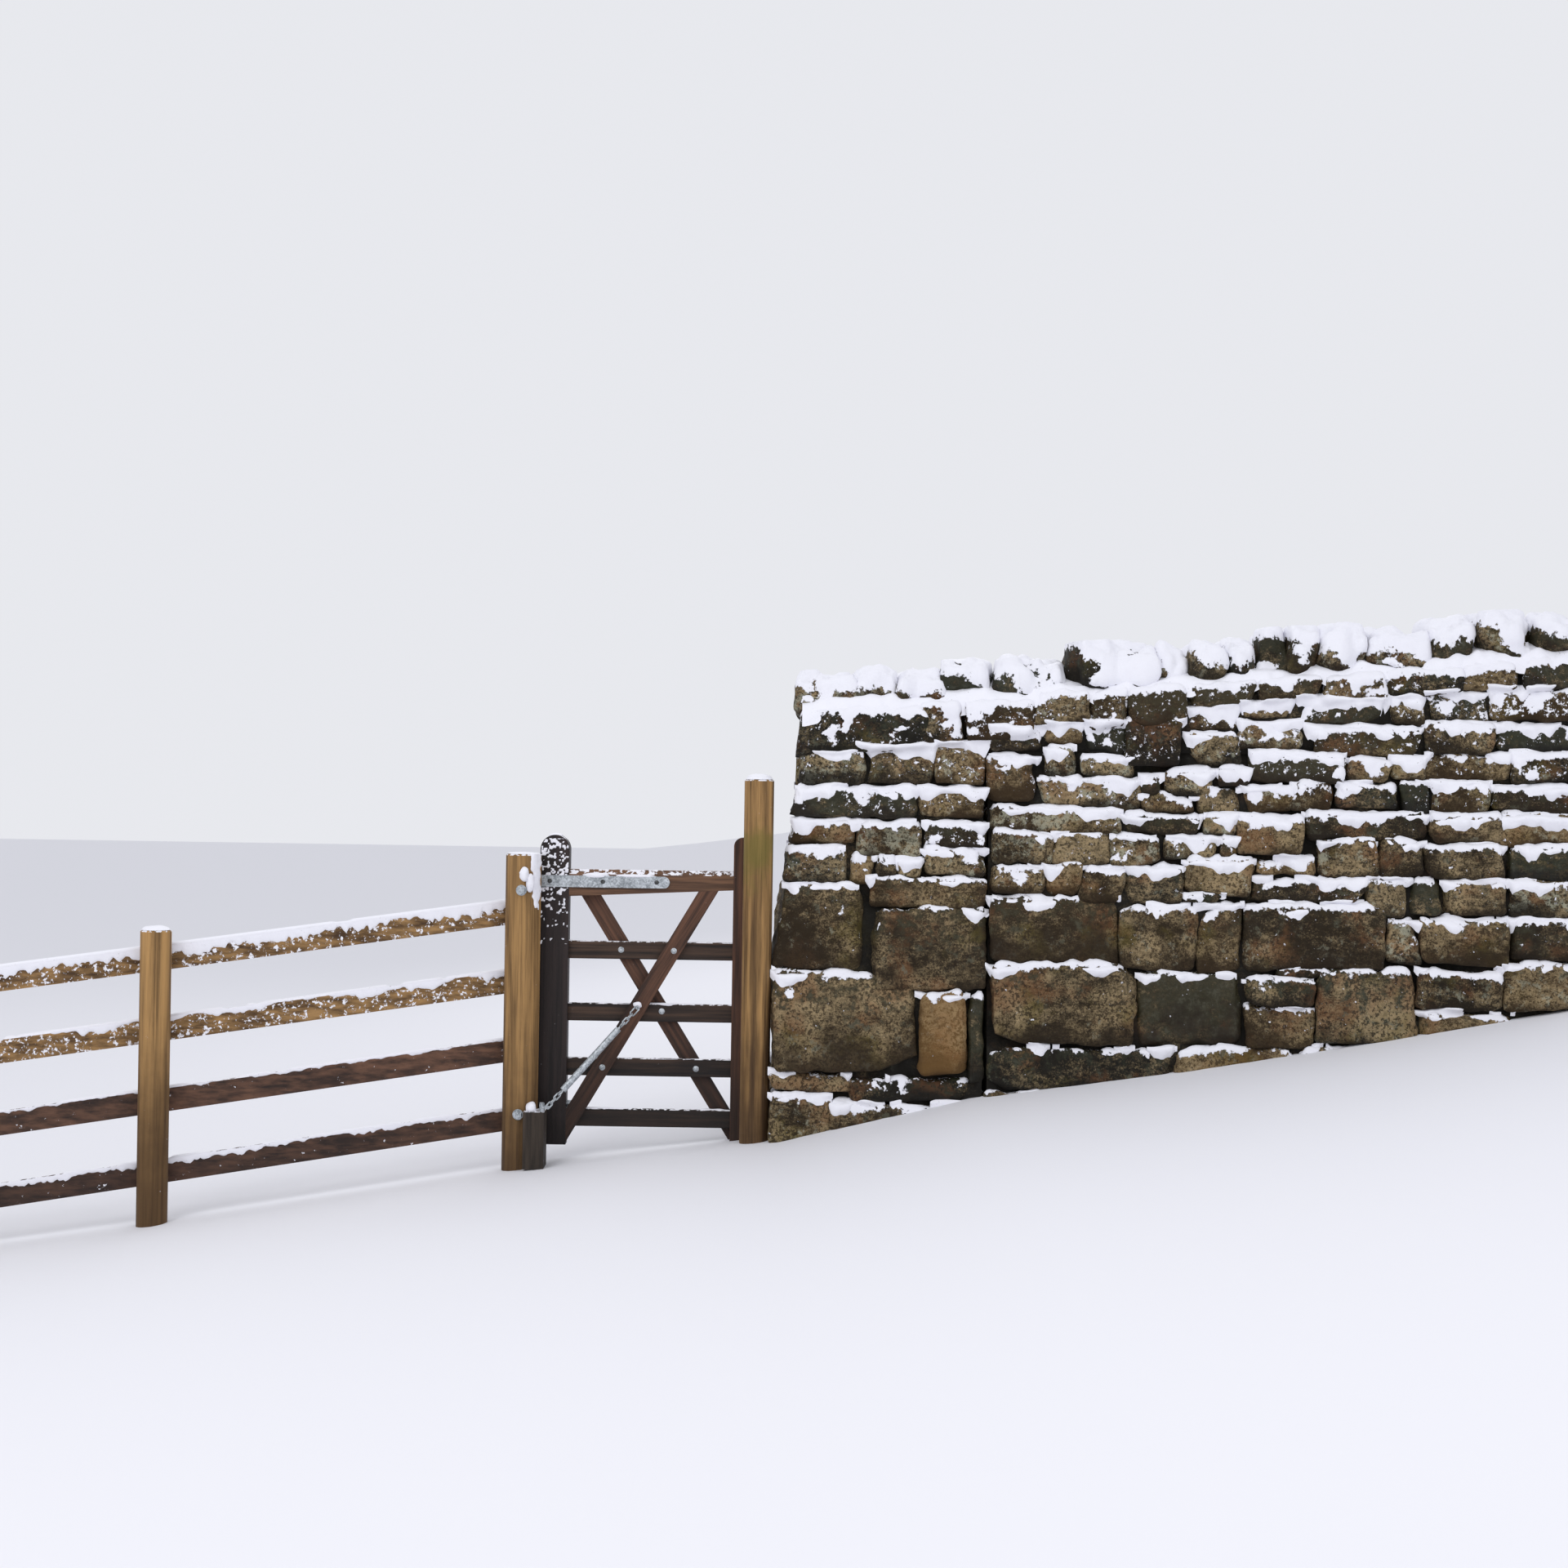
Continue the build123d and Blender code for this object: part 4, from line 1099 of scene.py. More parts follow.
def newGroup(name, inputs, outputs):
    tree = bpy.data.node_groups.new(name, "ShaderNodeTree")
    for side, sockets in (("INPUT", inputs), ("OUTPUT", outputs)):
        for title, kind in sockets.items():
            tree.interface.new_socket(name=title, in_out=side, socket_type="NodeSocket" + kind)
    return tree, tree.nodes.new("NodeGroupInput").outputs, tree.nodes.new("NodeGroupOutput")


def newMaterial(name):
    material = bpy.data.materials.new(name)
    material.use_nodes = True
    return material, material.node_tree, material.node_tree.nodes["Principled BSDF"]


# Snow over any surface
snowLook = {
    "colour": linear(236, 236, 243),
    "speck": linear(96, 92, 84),
    "clumpScale": 42.0,
    "speckScale": 95.0,
    "bump": (0.5, 0.004),
    "rough": 0.6,
}


def makeSnowGroup():
    inputs = {"Vector": "Vector", "Lies": "Float", "Share": "Float", "Colour": "Color", "Height": "Float"}
    outputs = {"Colour": "Color", "Mask": "Float", "Height": "Float"}
    tree, given, result = newGroup("snowOver", inputs, outputs)
    clumps = noiseOf(tree, given["Vector"], snowLook["clumpScale"], 5.0, 0.6)
    specks = noiseOf(tree, given["Vector"], snowLook["speckScale"], 3.0, 0.6)
    lain = rampOf(tree, plus(tree, given["Lies"], swing(tree, clumps, 1.6)), 0.36, 0.46)
    dusting = plus(tree, times(tree, upOf(tree), 0.16), times(tree, given["Share"], 0.24))
    dusting = plus(tree, dusting, plus(tree, times(tree, clumps, 0.75), times(tree, specks, 0.45)))
    mask = mathOf(tree, "MAXIMUM", lain, rampOf(tree, dusting, 0.83, 0.89))
    height = plus(tree, times(tree, given["Height"], 0.6), times(tree, mask, 0.5))
    colour = mixOf(tree, mask, given["Colour"], snowLook["colour"])
    setInputs(tree, result, {"Colour": colour, "Mask": mask, "Height": height})
    return tree


snowGroup = makeSnowGroup()


# Gives a material its colour and bump with snow over them, and says where the snow is
def finishSurface(tree, surface, place, lies, share, colour, height, bump):
    inputs = {"Vector": place, "Lies": lies, "Share": share, "Colour": colour, "Height": height}
    snow = put(tree, "Group", inputs, node_tree=snowGroup)
    setInputs(tree, surface, {"Base Color": snow["Colour"], "Normal": bumpOf(tree, snow["Height"], *bump)})
    return snow["Mask"]


# Stone
stoneLook = {
    "pale": linear(150, 132, 100),
    "deep": linear(27, 24, 17),
    "rust": linear(140, 104, 58),
    "warm": linear(118, 80, 52),
    "olive": linear(86, 78, 34),
    "lichen": linear(158, 158, 138),
    "moss": linear(36, 38, 24),
    # near black: painted shade on the hearting in the joints; on the stones, darker towards each stone's foot
    "darkBelow": linear(22, 20, 16),
    "speck": linear(18, 16, 13),
    "bump": (0.9, 0.006),  # strength and depth
    "bedScale": (22.0, 22.0, 42.0),
    "specular": 0.25,
}


def makeStoneGroup():
    tree, given, result = newGroup("gritstone", {"Vector": "Vector", "Look": "Color", "Rise": "Float"},
                                   {"Colour": "Color", "Height": "Float", "Roughness": "Float"})
    place, rise = given["Vector"], given["Rise"]
    split = put(tree, "SeparateColor", {0: given["Look"]})
    broad = noiseOf(tree, place, 8.0, 5.0, 0.6)
    grain = noiseOf(tree, place, 150.0, 4.0, 0.75)
    bedded = put(tree, "Mapping", {"Vector": place, "Scale": stoneLook["bedScale"]})[0]
    beds = noiseOf(tree, bedded, 1.0, 6.0, 0.68)
    wide = noiseOf(tree, place, 3.2, 3.0, 0.55)
    tone = split[0]
    for noise, amount in ((beds, 1.6), (wide, 1.5), (broad, 1.7), (grain, 1.7)):
        tone = plus(tree, tone, swing(tree, noise, amount))
    colour = mixOf(tree, rampOf(tree, tone, 0.0, 1.0), stoneLook["deep"], stoneLook["pale"])
    for paint, scale, low, high in (("warm", 4.7, 0.50, 0.66), ("olive", 3.9, 0.55, 0.68)):
        patches = rampOf(tree, noiseOf(tree, place, scale, 4.0, 0.6), low, high)
        colour = tint(tree, colour, stoneLook[paint], patches, 0.45)
    spots = noiseOf(tree, place, 19.0, 7.0, 0.72)
    lichen = rampOf(tree, plus(tree, spots, times(tree, split[1], 0.20)), 0.60, 0.70)
    colour = tint(tree, colour, stoneLook["lichen"], lichen, 0.72)
    dots = plus(tree, noiseOf(tree, place, 70.0, 4.0, 0.7), times(tree, broad, 0.35))
    colour = tint(tree, colour, stoneLook["speck"], rampOf(tree, dots, 0.69, 0.77), 0.8)
    mossy = plus(tree, times(tree, spots, 0.9), times(tree, split[2], 0.36), times(tree, rise, 0.16))
    colour = tint(tree, colour, stoneLook["moss"], rampOf(tree, mossy, 0.70, 0.84), 0.9)
    # darker towards each stone's foot; the hearting, whose rise is nought, goes near black, which is painted
    # shade in the joints
    below = plus(tree, rise, swing(tree, wide, 1.6), swing(tree, spots, 0.6))
    colour = tint(tree, colour, stoneLook["darkBelow"], rampOf(tree, below, 0.42, 0.08), 0.85)
    pits = plus(tree, times(tree, grain, 0.35), plus(tree, beds, times(tree, spots, 0.5)))
    setInputs(tree, result, {"Colour": colour, "Height": pits, "Roughness": rampOf(tree, mossy, 1.2, 0.3)})
    return tree


stoneGroup = makeStoneGroup()


def makeStoneMaterial(name):
    material, tree, surface = newMaterial(name)
    place = placeOf(tree)
    look = put(tree, "Attribute", {}, attribute_name="stoneLook")
    rise, lies, share = (put(tree, "Attribute", {}, attribute_name=title)["Fac"]
                         for title in ("stoneRise", "snowLies", "snowShare"))
    inputs = {"Vector": place, "Look": look["Color"], "Rise": rise}
    stone = put(tree, "Group", inputs, node_tree=stoneGroup)
    rusty = tint(tree, stone["Colour"], stoneLook["rust"], look["Alpha"], 0.42)
    finishSurface(tree, surface, place, lies, share, rusty, stone["Height"], stoneLook["bump"])
    roughness = rampOf(tree, stone["Roughness"], -0.6, 1.0)
    setInputs(tree, surface, {"Roughness": roughness, "Specular IOR Level": stoneLook["specular"]})
    return material


stoneMaterials = {kind: makeStoneMaterial(kind) for kind in ("walling", "cope")}
for name, piece in wallPieces.items():
    piece.data.materials.append(stoneMaterials["cope" if name.startswith("cope") else "walling"])
print("Stone finished")


# Timber: grain is its scale across and along, and the last the heights between which it darkens towards the
# bottom
def timber(light, dark, grain, rough, snow, darkBelow):
    looks = {"grain": grain, "rough": rough, "snow": snow, "darkBelow": darkBelow}
    return {"light": linear(*light), "dark": linear(*dark), **looks}


woodSettings = {
    "post": timber((180, 140, 88), (52, 34, 19), (40.0, 1.5), 0.75, 0.10, (0.35, 1.2)),
    "gate": timber((80, 60, 47), (19, 15, 14), (55.0, 2.2), 0.6, 0.10, (0.4, 1.25)),
    "topRail": timber((124, 90, 66), (48, 32, 24), (55.0, 2.2), 0.6, 0.10, (0.2, 0.5)),
    "brace": timber((110, 75, 56), (32, 22, 18), (55.0, 2.2), 0.6, 0.12, (0.5, 1.4)),
    # heel stile: its own dark brown, darkened further as painted shade
    "stile": timber((47, 37, 35), (16, 12, 12), (50.0, 1.8), 0.55, 0.20, (0.3, 0.9)),
    "closing": timber((104, 70, 52), (36, 25, 20), (50.0, 1.8), 0.6, 0.10, (0.3, 1.2)),
    "fence": timber((164, 128, 82), (66, 46, 28), (45.0, 1.5), 0.7, 0.75, (0.1, 0.9)),
    "lowFence": timber((112, 80, 62), (40, 29, 25), (45.0, 1.5), 0.65, 0.35, (0.1, 0.9)),
    "block": timber((66, 56, 47), (30, 25, 21), (45.0, 3.0), 0.7, 0.2, (0.0, 0.1)),
}
woodFinish = {"bump": (0.5, 0.0025), "specular": 0.3, "lies": (0.4, 0.8, 0.45)}
# The green patch on the shutting post: its height and reach, and where it fades in along the wall
algaeSettings = {"colour": linear(104, 98, 40), "middle": 1.74, "reach": 0.17, "along": (0.5, 0.6)}


def makeWoodGroup():
    tree, given, result = newGroup("sawnTimber", {"Vector": "Vector", "Light": "Color", "Dark": "Color"},
                                   {"Colour": "Color", "Height": "Float"})
    place, dark = given["Vector"], given["Dark"]
    grain = noiseOf(tree, place, 1.0, 6.0, 0.62)
    fibres = noiseOf(tree, place, 4.0, 4.0, 0.6)
    bands = plus(tree, times(tree, grain, 0.9), times(tree, noiseOf(tree, place, 0.12, 3.0), 0.5))
    colour = mixOf(tree, rampOf(tree, bands, 0.48, 0.92), dark, given["Light"])
    streaks = rampOf(tree, noiseOf(tree, place, 0.45, 3.0, 0.6), 0.52, 0.70)
    knots = put(tree, "TexVoronoi", {"Vector": place, "Scale": 0.16})["Distance"]
    knots = rampOf(tree, knots, 0.16, 0.07)
    for mask, strength in ((streaks, 0.6), (knots, 0.75), (rampOf(tree, fibres, 0.55, 0.8), 0.35)):
        colour = tint(tree, colour, dark, mask, strength)
    height = mathOf(tree, "SUBTRACT", plus(tree, grain, times(tree, fibres, 0.4)), knots)
    setInputs(tree, result, {"Colour": colour, "Height": height})
    return tree


woodGroup = makeWoodGroup()


def snowLies(tree, low, high, most):
    return times(tree, rampOf(tree, upOf(tree), low, high), most)


def makeWoodMaterial(name, kind, turn):
    looks = woodSettings[kind]
    across, along = looks["grain"]
    material, tree, surface = newMaterial(name)
    place = placeOf(tree)
    turned = put(tree, "Mapping", {"Vector": place, "Rotation": (0.0, turn, 0.0)})[0]
    stretched = put(tree, "Mapping", {"Vector": turned, "Scale": (along, across, across)})[0]
    inputs = {"Vector": stretched, "Light": looks["light"], "Dark": looks["dark"]}
    wood = put(tree, "Group", inputs, node_tree=woodGroup)
    height = plus(tree, axisOf(tree, place, "Z"), swing(tree, noiseOf(tree, place, 7.0), 0.5))
    # darker towards the bottom of each part, between the two given heights
    darkerLow = rampOf(tree, height, looks["darkBelow"][1], looks["darkBelow"][0])
    colour = tint(tree, wood["Colour"], looks["dark"], darkerLow, 0.8)
    if kind == "post":
        away = mathOf(tree, "ABSOLUTE", mathOf(tree, "SUBTRACT", height, algaeSettings["middle"]), 0.0)
        green = rampOf(tree, away, algaeSettings["reach"], 0.02)
        green = times(tree, green, rampOf(tree, axisOf(tree, place, "X"), *algaeSettings["along"]))
        colour = tint(tree, colour, algaeSettings["colour"], green, 0.6)
    lies = snowLies(tree, *woodFinish["lies"])
    finishSurface(tree, surface, place, lies, looks["snow"], colour, wood["Height"], woodFinish["bump"])
    setInputs(tree, surface, {"Roughness": looks["rough"], "Specular IOR Level": woodFinish["specular"]})
    return material


upright = math.radians(90)
woodUses = {
    ("post", upright): ["hanging_post", "shutting_post", "fence_post_1", "fence_post_2"],
    ("stile", upright): ["heel_stile"],
    ("closing", upright): ["shutting_stile"],
    ("topRail", 0.0): ["top_rail"],
    ("gate", 0.0): ["second_rail", "middle_rail", "fourth_rail", "bottom_rail"],
    ("brace", math.radians(58)): ["front_brace"],
    ("brace", math.radians(-58)): ["back_brace"],
    ("fence", 0.0): ["fence_rail_top", "fence_rail_upper"],
    ("lowFence", 0.0): ["fence_rail_lower", "fence_rail_bottom"],
    ("block", upright): ["closer_block"],
}


def finishNodes(names, material):
    for name in names:
        nodes[name].data.materials.clear()
        nodes[name].data.materials.append(material)


for (kind, turn), names in woodUses.items():
    finishNodes(names, makeWoodMaterial(kind + str(round(math.degrees(turn))), kind, turn))
print("Timber finished")


# Galvanised steel, and the darker bolts of the strap
steelSettings = {
    "galvanised": {"bright": linear(204, 210, 215), "dull": linear(128, 134, 138),
                   "rough": 0.5, "metallic": 0.5},
    "darkBolt": {"bright": linear(96, 98, 98), "dull": linear(34, 34, 34),
                 "rough": 0.6, "metallic": 0.4},
}
steelFinish = {"bump": (0.4, 0.001), "lies": (0.5, 0.9, 0.4)}


def makeSteelMaterial(name):
    looks = steelSettings[name]
    material, tree, surface = newMaterial(name)
    place = placeOf(tree)
    spangle = put(tree, "TexVoronoi", {"Vector": place, "Scale": 160.0})["Color"]
    spangle = put(tree, "SeparateColor", {0: spangle})[0]
    stain = noiseOf(tree, place, 38.0, 6.0, 0.65)
    tone = plus(tree, times(tree, spangle, 0.3), times(tree, stain, 0.9))
    colour = mixOf(tree, rampOf(tree, tone, 0.3, 0.9), looks["dull"], looks["bright"])
    lies = snowLies(tree, *steelFinish["lies"])
    snow = finishSurface(tree, surface, place, lies, 0.0, colour, stain, steelFinish["bump"])
    metallic = times(tree, mathOf(tree, "SUBTRACT", 1.0, snow), looks["metallic"])
    setInputs(tree, surface, {"Metallic": metallic, "Roughness": looks["rough"]})
    return material


steelMaterial, boltMaterial = makeSteelMaterial("galvanised"), makeSteelMaterial("darkBolt")
steelNames = ["top_strap", "lower_eye_bolt", "top_hook", "lower_hook", "closer_pin", "closer_swivel",
              "closer_lower_chain", "closer_tube", "closer_rod", "closer_upper_chain", "closer_peg"]
finishNodes(steelNames, steelMaterial)
print("Steel finished")

floorMaterial, floorTree, floorSurface = newMaterial("paleFloor")
setInputs(floorTree, floorSurface, {"Base Color": (*studioSettings["floorColour"], 1),
                                    "Roughness": studioSettings["floorRough"]})
floor.data.materials.append(floorMaterial)


# Snow lying on timber and steel
def makeLyingSnow():
    material, tree, surface = newMaterial("lyingSnow")
    place = placeOf(tree)
    fine, broad = noiseOf(tree, place, 120.0, 3.0, 0.6), noiseOf(tree, place, 14.0, 3.0)
    specks = rampOf(tree, plus(tree, fine, times(tree, broad, 0.5)), 0.96, 1.06)
    colour = mixOf(tree, specks, snowLook["colour"], snowLook["speck"])
    bump = bumpOf(tree, noiseOf(tree, place, 60.0, 5.0), *snowLook["bump"])
    setInputs(tree, surface, {"Base Color": colour, "Normal": bump, "Roughness": snowLook["rough"]})
    return material


lyingSnow = makeLyingSnow()
gateRails = ("top_rail", "second_rail", "middle_rail", "fourth_rail", "bottom_rail")


def bodyOf(name):
    return "gate" if name in gateRails else "wall_and_posts"


def meshTree(name):
    mesh = nodes[name].data
    corners = [vertex.co for vertex in mesh.vertices]
    return BVHTree.FromPolygons(corners, [tuple(face.vertices) for face in mesh.polygons])


# Post caps, by depth
capSettings = {
    "depths": {"hanging_post": 0.006, "shutting_post": 0.020, "fence_post_1": 0.016, "fence_post_2": 0.016},
    "rings": 7,
    "spokes": 28,
    "inset": 0.004,
    "bumps": 0.25,
}


def snowCap(name, depth, seed):
    low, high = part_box(name)
    x, y, radius = (low.x + high.x) / 2, (low.y + high.y) / 2, (high.x - low.x) / 2 - capSettings["inset"]
    rings, spokes = capSettings["rings"], capSettings["spokes"]
    points = [(x, y, high.z + depth)]
    for ring, spoke in product(range(1, rings + 1), range(spokes)):
        share, angle = ring / rings, 2 * math.pi * spoke / spokes
        z = high.z + depth * math.sqrt(max(0, 1 - share**3)) - 0.001
        points.append((x + radius * share * math.cos(angle), y + radius * share * math.sin(angle), z))
    points = np.array(points)
    bumps = smoothNoise(points * (1, 1, 0), 0.03, seed)
    points[:-spokes, 2] += bumps[:-spokes] * depth * capSettings["bumps"]
    return points, ringFaces(rings, spokes)


# Snow along the tops of the rails: how much of the top it covers, and its depth
stripSettings = {
    "rails": {"fence_rail_top": (0.9, 0.016), "fence_rail_upper": (0.75, 0.012),
              "fence_rail_lower": (0.6, 0.011), "fence_rail_bottom": (0.55, 0.010),
              "top_rail": (0.75, 0.010), "second_rail": (0.35, 0.008), "middle_rail": (0.45, 0.008),
              "fourth_rail": (0.4, 0.008), "bottom_rail": (0.5, 0.009)},
    "step": 0.009,
    "across": 6,
    "width": 0.94,
    "sink": 0.0005,
    "steepest": 0.7,  # least upward part of a top face's normal
    "endReach": 0.03,
}


def topCorners(name):
    mesh = nodes[name].data
    tops = [face for face in mesh.polygons if face.normal.z > stripSettings["steepest"]]
    used = sorted({index for face in tops for index in face.vertices})
    corners = sorted((mesh.vertices[index].co.copy() for index in used), key=lambda corner: corner.x)
    ends = [[spot for spot in corners if abs(spot.x - end.x) < stripSettings["endReach"]]
            for end in (corners[0], corners[-1])]
    return [(min(end, key=lambda corner: corner.y), max(end, key=lambda corner: corner.y)) for end in ends]


def snowStrip(name, share, depth, seed):
    (leftNear, leftFar), (rightNear, rightFar) = topCorners(name)
    count, across = int((rightNear - leftNear).length / stripSettings["step"]), stripSettings["across"]
    points = []
    for place in range(count + 1):
        near, far = leftNear.lerp(rightNear, place / count), leftFar.lerp(rightFar, place / count)
        middle, half = (near + far) / 2, (far - near) / 2 * stripSettings["width"]
        amount = noiseSum(np.array([[middle.x, 0.0, 0.0]]), (0.11, seed, 0.6), (0.03, seed + 1, 0.35))[0]
        amount = float(ease(amount + share * 2 - 1 + 0.25, 0.0, 0.45))
        for step in range(across + 1):
            angle = math.pi * step / across
            spot = middle - half * math.cos(angle) * (0.3 + 0.7 * amount)
            rise = math.sin(angle) ** 0.6 * depth * amount
            points.append((spot.x, spot.y, spot.z - stripSettings["sink"] + rise))
    return np.array(points), flipped(gridFaces(count, across, False))


# Snow that hangs from the rails' front edges: how much of it there is, and its longest reach down
drapeSettings = {
    "rails": {"fence_rail_top": (0.85, 0.060), "fence_rail_upper": (0.62, 0.045),
              "fence_rail_lower": (0.50, 0.020), "fence_rail_bottom": (0.66, 0.040),
              "middle_rail": (0.30, 0.018), "fourth_rail": (0.28, 0.018), "bottom_rail": (0.36, 0.020)},
    "step": 0.008,
    "rows": 6,
    "thick": (0.002, 0.006),
    "sink": 0.003,
    "lift": 0.003,
    "shortest": 0.002,
    "taper": 60,
}


def railDrape(name, share, longest, seed):
    (leftNear, leftFar), (rightNear, rightFar) = topCorners(name)
    count, rows = int((rightNear - leftNear).length / drapeSettings["step"]), drapeSettings["rows"]
    along = np.linspace(0, 1, count + 1)
    corners = np.array(leftNear) + along[:, None] * (np.array(rightNear) - np.array(leftNear))
    line = corners * (1, 0, 0)
    amount = capped(share * 2 - 0.85 + noiseSum(line, (0.12, seed, 0.8), (0.035, seed + 1, 0.5)))
    amount *= capped(np.minimum(along, 1 - along) * drapeSettings["taper"])
    scallops = capped(0.5 + noiseSum(line, (0.03, seed + 2, 0.6), (0.012, seed + 3, 0.5)))
    hang = longest * amount * (0.35 + 0.65 * scallops) + drapeSettings["shortest"]
    down = np.linspace(0, 1, rows + 1)
    bulge = np.sqrt(capped(1 - down**2))
    thick = np.where(amount > 0, between(drapeSettings["thick"], amount), 0)[:, None] * bulge
    points = np.repeat(corners[:, None, :], rows + 1, axis=1)
    points[:, :, 1] -= thick - drapeSettings["sink"] * (1 - bulge)
    points[:, :, 2] -= hang[:, None] * down - drapeSettings["lift"]
    return onlyUsed(points.reshape(-1, 3), gridFaces(count, rows, True, keptFaces(amount, rows)))


# Lumps of snow on hooks, bolts, strap and stile: centre and radii
lumpSettings = {
    "wall_and_posts": [
        ((0.056, -0.086, 0.650), (0.023, 0.026, 0.028)),
        ((0.012, -0.088, 1.634), (0.024, 0.018, 0.028)),
        ((0.036, -0.078, 1.600), (0.018, 0.014, 0.040)),
    ],
    "gate": [
        ((0.4866, 0.063, 1.079), (0.019, 0.009, 0.013)),
        ((0.300, 0.073, 1.629), (0.070, 0.010, 0.010)),
        ((0.470, 0.073, 1.629), (0.090, 0.010, 0.008)),
        ((0.125, 0.100, 1.797), (0.030, 0.022, 0.010)),
    ],
}


def snowLump(centre, radii, seed):
    rings, spokes = 10, 16
    points = [(0.0, 0.0, 1.0)]
    for ring, spoke in product(range(1, rings), range(spokes)):
        polar, angle = math.pi * ring / rings, 2 * math.pi * spoke / spokes
        points.append((math.sin(polar) * math.cos(angle), math.sin(polar) * math.sin(angle), math.cos(polar)))
    points = np.array(points + [(0.0, 0.0, -1.0)])
    last = len(points) - 1
    foot = [(last, last - spokes + (spoke + 1) % spokes, last - spokes + spoke) for spoke in range(spokes)]
    bumps = 1 + noiseSum(points, (0.9, seed, 0.25), (0.4, seed + 1, 0.10))
    return points * bumps[:, None] * radii + centre, ringFaces(rings - 1, spokes) + foot


def keptAround(shown, columns):
    grid = shown.reshape(columns + 1, -1)
    return grid[:-1, :-1] | grid[1:, :-1] | grid[:-1, 1:] | grid[1:, 1:]


# Snow blown against the right of the hanging post's front, from its top down
bandSettings = {
    "angles": (0.50, 1.45),
    "heights": (1.485, 1.7205),
    "columns": 14,
    "rows": 34,
    "thick": 0.008,
    "sink": 0.003,
    "bumps": 0.002,
}


def postBand(name, seed):
    low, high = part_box(name)
    radius = (high.x - low.x) / 2
    columns, rows = bandSettings["columns"], bandSettings["rows"]
    angle, z = crossed(bandSettings["angles"], columns, bandSettings["heights"], rows)
    side, foot = crossed((-1, 1), columns, (1, 0), rows)
    flat = stacked(angle * radius, 0.0, z)
    amount = 1.15 - side**2 * 0.9 - foot**3 * 0.8
    amount += noiseSum(flat, (0.035, seed, 0.45), (0.014, seed + 1, 0.3))
    shown = ease(amount, 0.25, 0.75)
    reach = radius + bandSettings["thick"] * shown - bandSettings["sink"]
    reach += bandSettings["bumps"] * smoothNoise(flat, 0.012, seed + 2)
    x, y = (low.x + high.x) / 2, (low.y + high.y) / 2
    points = stacked(x + reach * np.sin(angle), y - reach * np.cos(angle), z)
    return onlyUsed(points, gridFaces(columns, rows, False, keptAround(shown > 0.02, columns)))


# Flecks of snow on the front of the heel stile, thickest near its top
fleckSettings = {
    "box": (0.066, 0.183, 1.33, 1.785),  # left, right, foot, top
    "rounded": 1.737,
    "columns": 44,
    "rows": 170,
    "thick": 0.004,
    "sink": 0.002,
}


def stileFlecks(name, seed):
    left, right, foot, top = fleckSettings["box"]
    columns, rows = fleckSettings["columns"], fleckSettings["rows"]
    x, z = crossed((left, right), columns, (foot, top), rows)
    amount = noiseSum(stacked(x, 0.0, z), (0.014, seed, 0.7), (0.007, seed + 1, 0.7))
    amount += (z - foot) / (top - foot) * 0.60 - 0.66
    middle, radius = (left + right) / 2, (right - left) / 2
    outside = np.hypot(x - middle, np.maximum(z - fleckSettings["rounded"], 0)) > radius
    shown = ease(amount - 3 * outside, 0.0, 0.12)
    thick, sink = fleckSettings["thick"], fleckSettings["sink"]
    points = stacked(x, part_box(name)[0].y + sink - (thick + sink) * shown, z)
    return onlyUsed(points, gridFaces(columns, rows, False, keptAround(shown > 0.02, columns)))


def joinedSnow(name, body, parts):
    points, faces = joined(parts)
    piece = meshObject(name, points.tolist(), faces)
    piece.data.materials.append(lyingSnow)
    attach(piece, body)


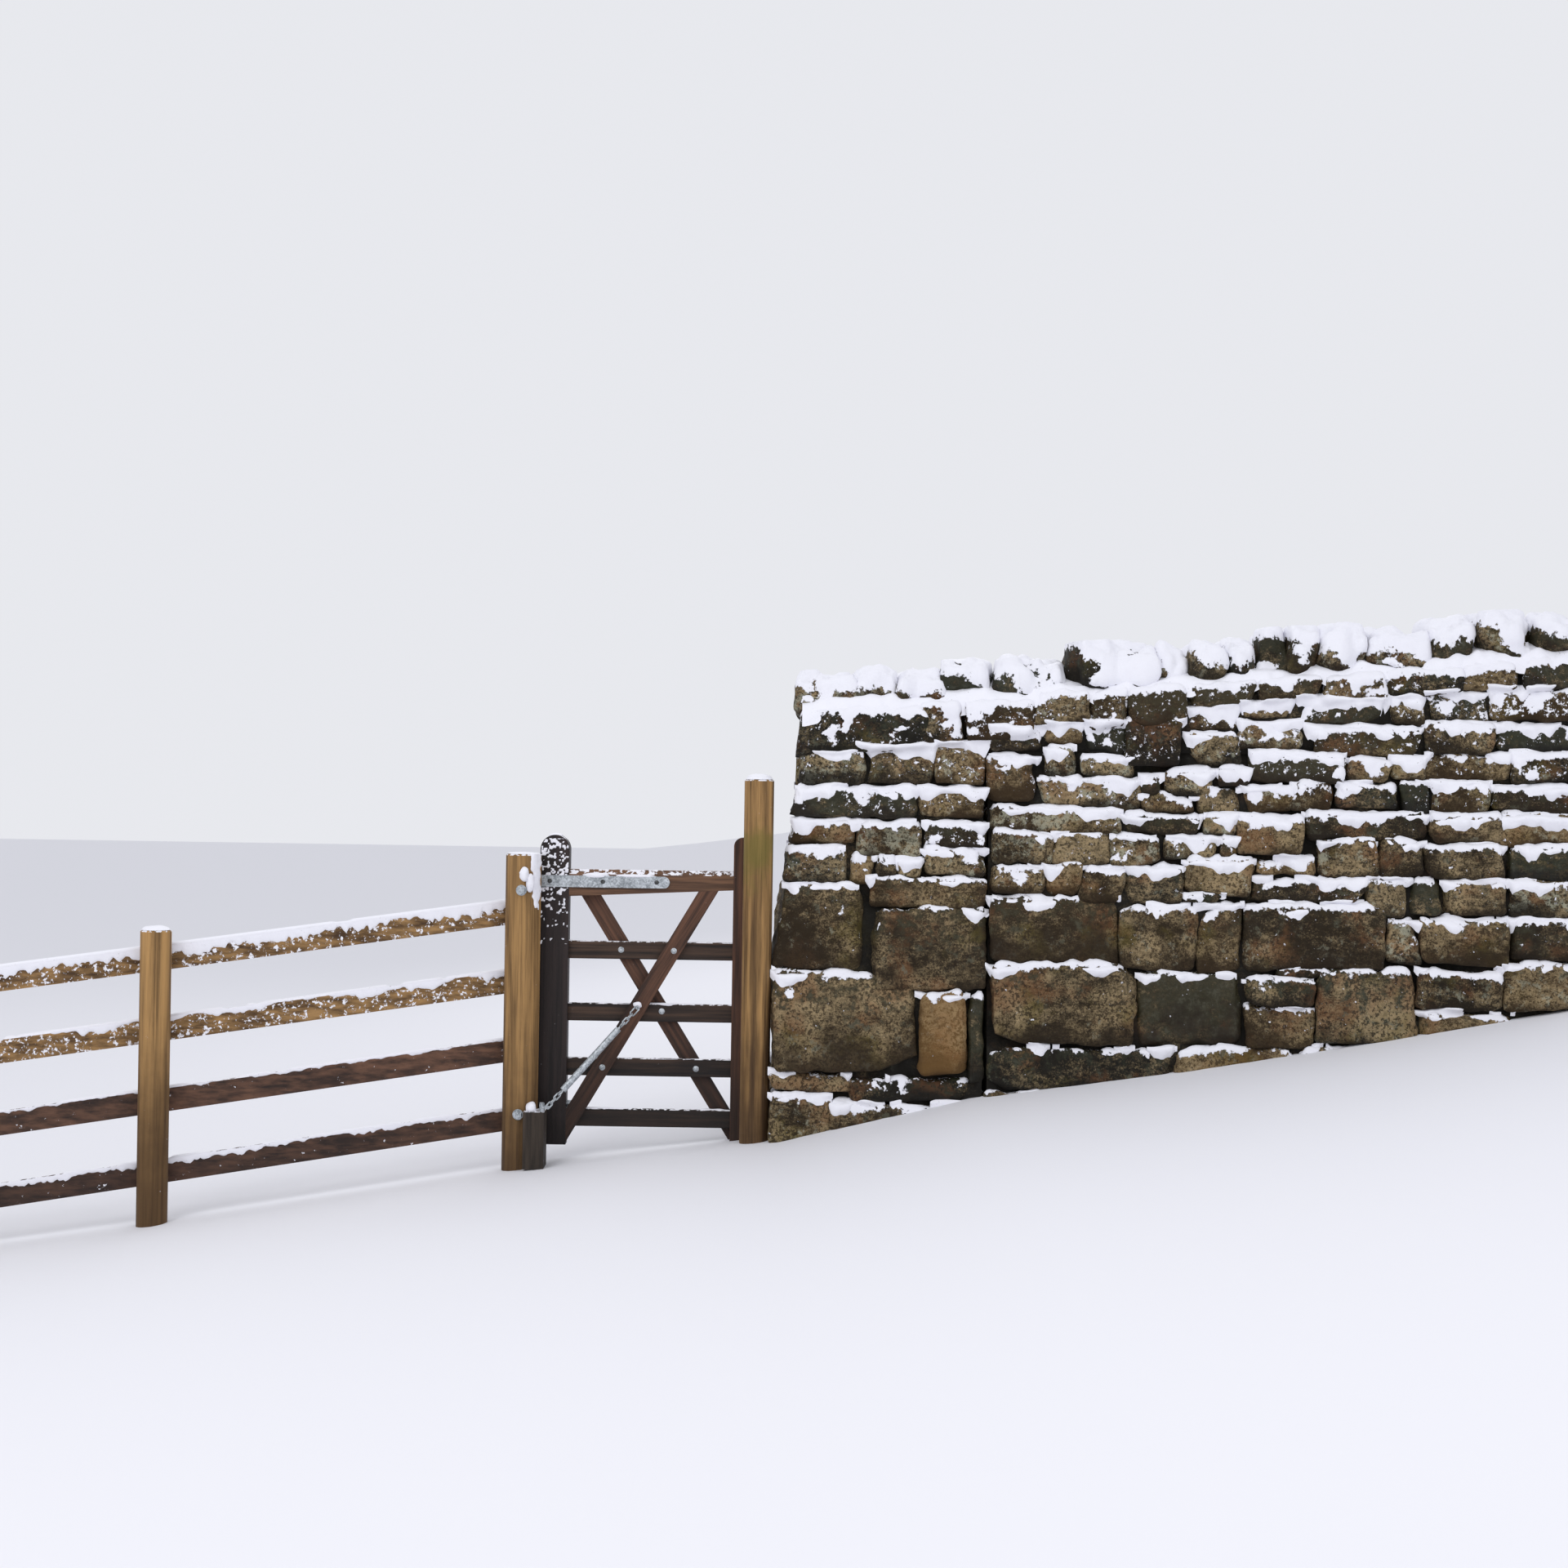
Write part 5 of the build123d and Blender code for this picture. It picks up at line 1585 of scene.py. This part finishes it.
snowParts = {"wall_and_posts": [postBand("hanging_post", 50)], "gate": [stileFlecks("heel_stile", 55)]}
for place, (name, depth) in enumerate(capSettings["depths"].items()):
    snowParts["wall_and_posts"].append(snowCap(name, depth, 40 + place))
for place, (name, amounts) in enumerate(stripSettings["rails"].items()):
    snowParts[bodyOf(name)].append(snowStrip(name, *amounts, 60 + place))
for place, (name, amounts) in enumerate(drapeSettings["rails"].items()):
    snowParts[bodyOf(name)].append(railDrape(name, *amounts, 80 + 5 * place))
for body, lumps in lumpSettings.items():
    snowParts[body] += [snowLump(*lump, 120 + 3 * place) for place, lump in enumerate(lumps)]
joinedSnow("fenceSnow", "wall_and_posts", snowParts["wall_and_posts"])
joinedSnow("gateSnow", "gate", snowParts["gate"])
joinedSnow("copeSnow", "wall_and_posts", [snowShelf(-1), snowShelf(1)])
joinedSnow("ledgeSnow", "wall_and_posts", ledgeParts)
print("Snow laid on posts and rails")


# Bolt heads on the gate: places across and up, then radius and height of a head
boltSettings = {
    "coach": [(0.411, 1.312), (0.638, 1.312), (0.589, 1.051), (0.340, 0.810), (0.739, 0.807)],
    "coachSize": (0.013, 0.006),
    "strap": [(0.104, 1.603), (0.331, 1.603), (0.560, 1.603)],
    "strapSize": (0.010, 0.006),
    "rings": 3,
    "spokes": 12,
}


def frontOf(x, z, names):
    hits = [meshTree(name).ray_cast(Vector((x, -1.0, z)), Vector((0, 1, 0)))[0] for name in names]
    return min(hit.y for hit in hits if hit)


def domeHeads(name, body, kind, faceNames, material):
    radius, height = boltSettings[kind + "Size"]
    rings, spokes = boltSettings["rings"], boltSettings["spokes"]
    parts = []
    for x, z in boltSettings[kind]:
        y = frontOf(x, z, faceNames)
        points = [(x, y - height, z)]
        for ring, spoke in product(range(1, rings + 1), range(spokes)):
            angle, reach = 2 * math.pi * spoke / spokes, radius * ring / rings
            rise = height * math.cos(math.pi / 2 * ring / rings)
            points.append((x + reach * math.cos(angle), y - rise, z + reach * math.sin(angle)))
        parts.append((np.array(points), [(face[0], *face[:0:-1]) for face in ringFaces(rings, spokes)]))
    points, faces = joined(parts)
    piece = meshObject(name, points.tolist(), faces)
    piece.data.materials.append(material)
    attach(piece, body)


domeHeads("coachBolts", "gate", "coach", ("front_brace",) + gateRails, steelMaterial)
domeHeads("strapBolts", "gate", "strap", ("top_strap",), boltMaterial)
print("Bolt heads set")
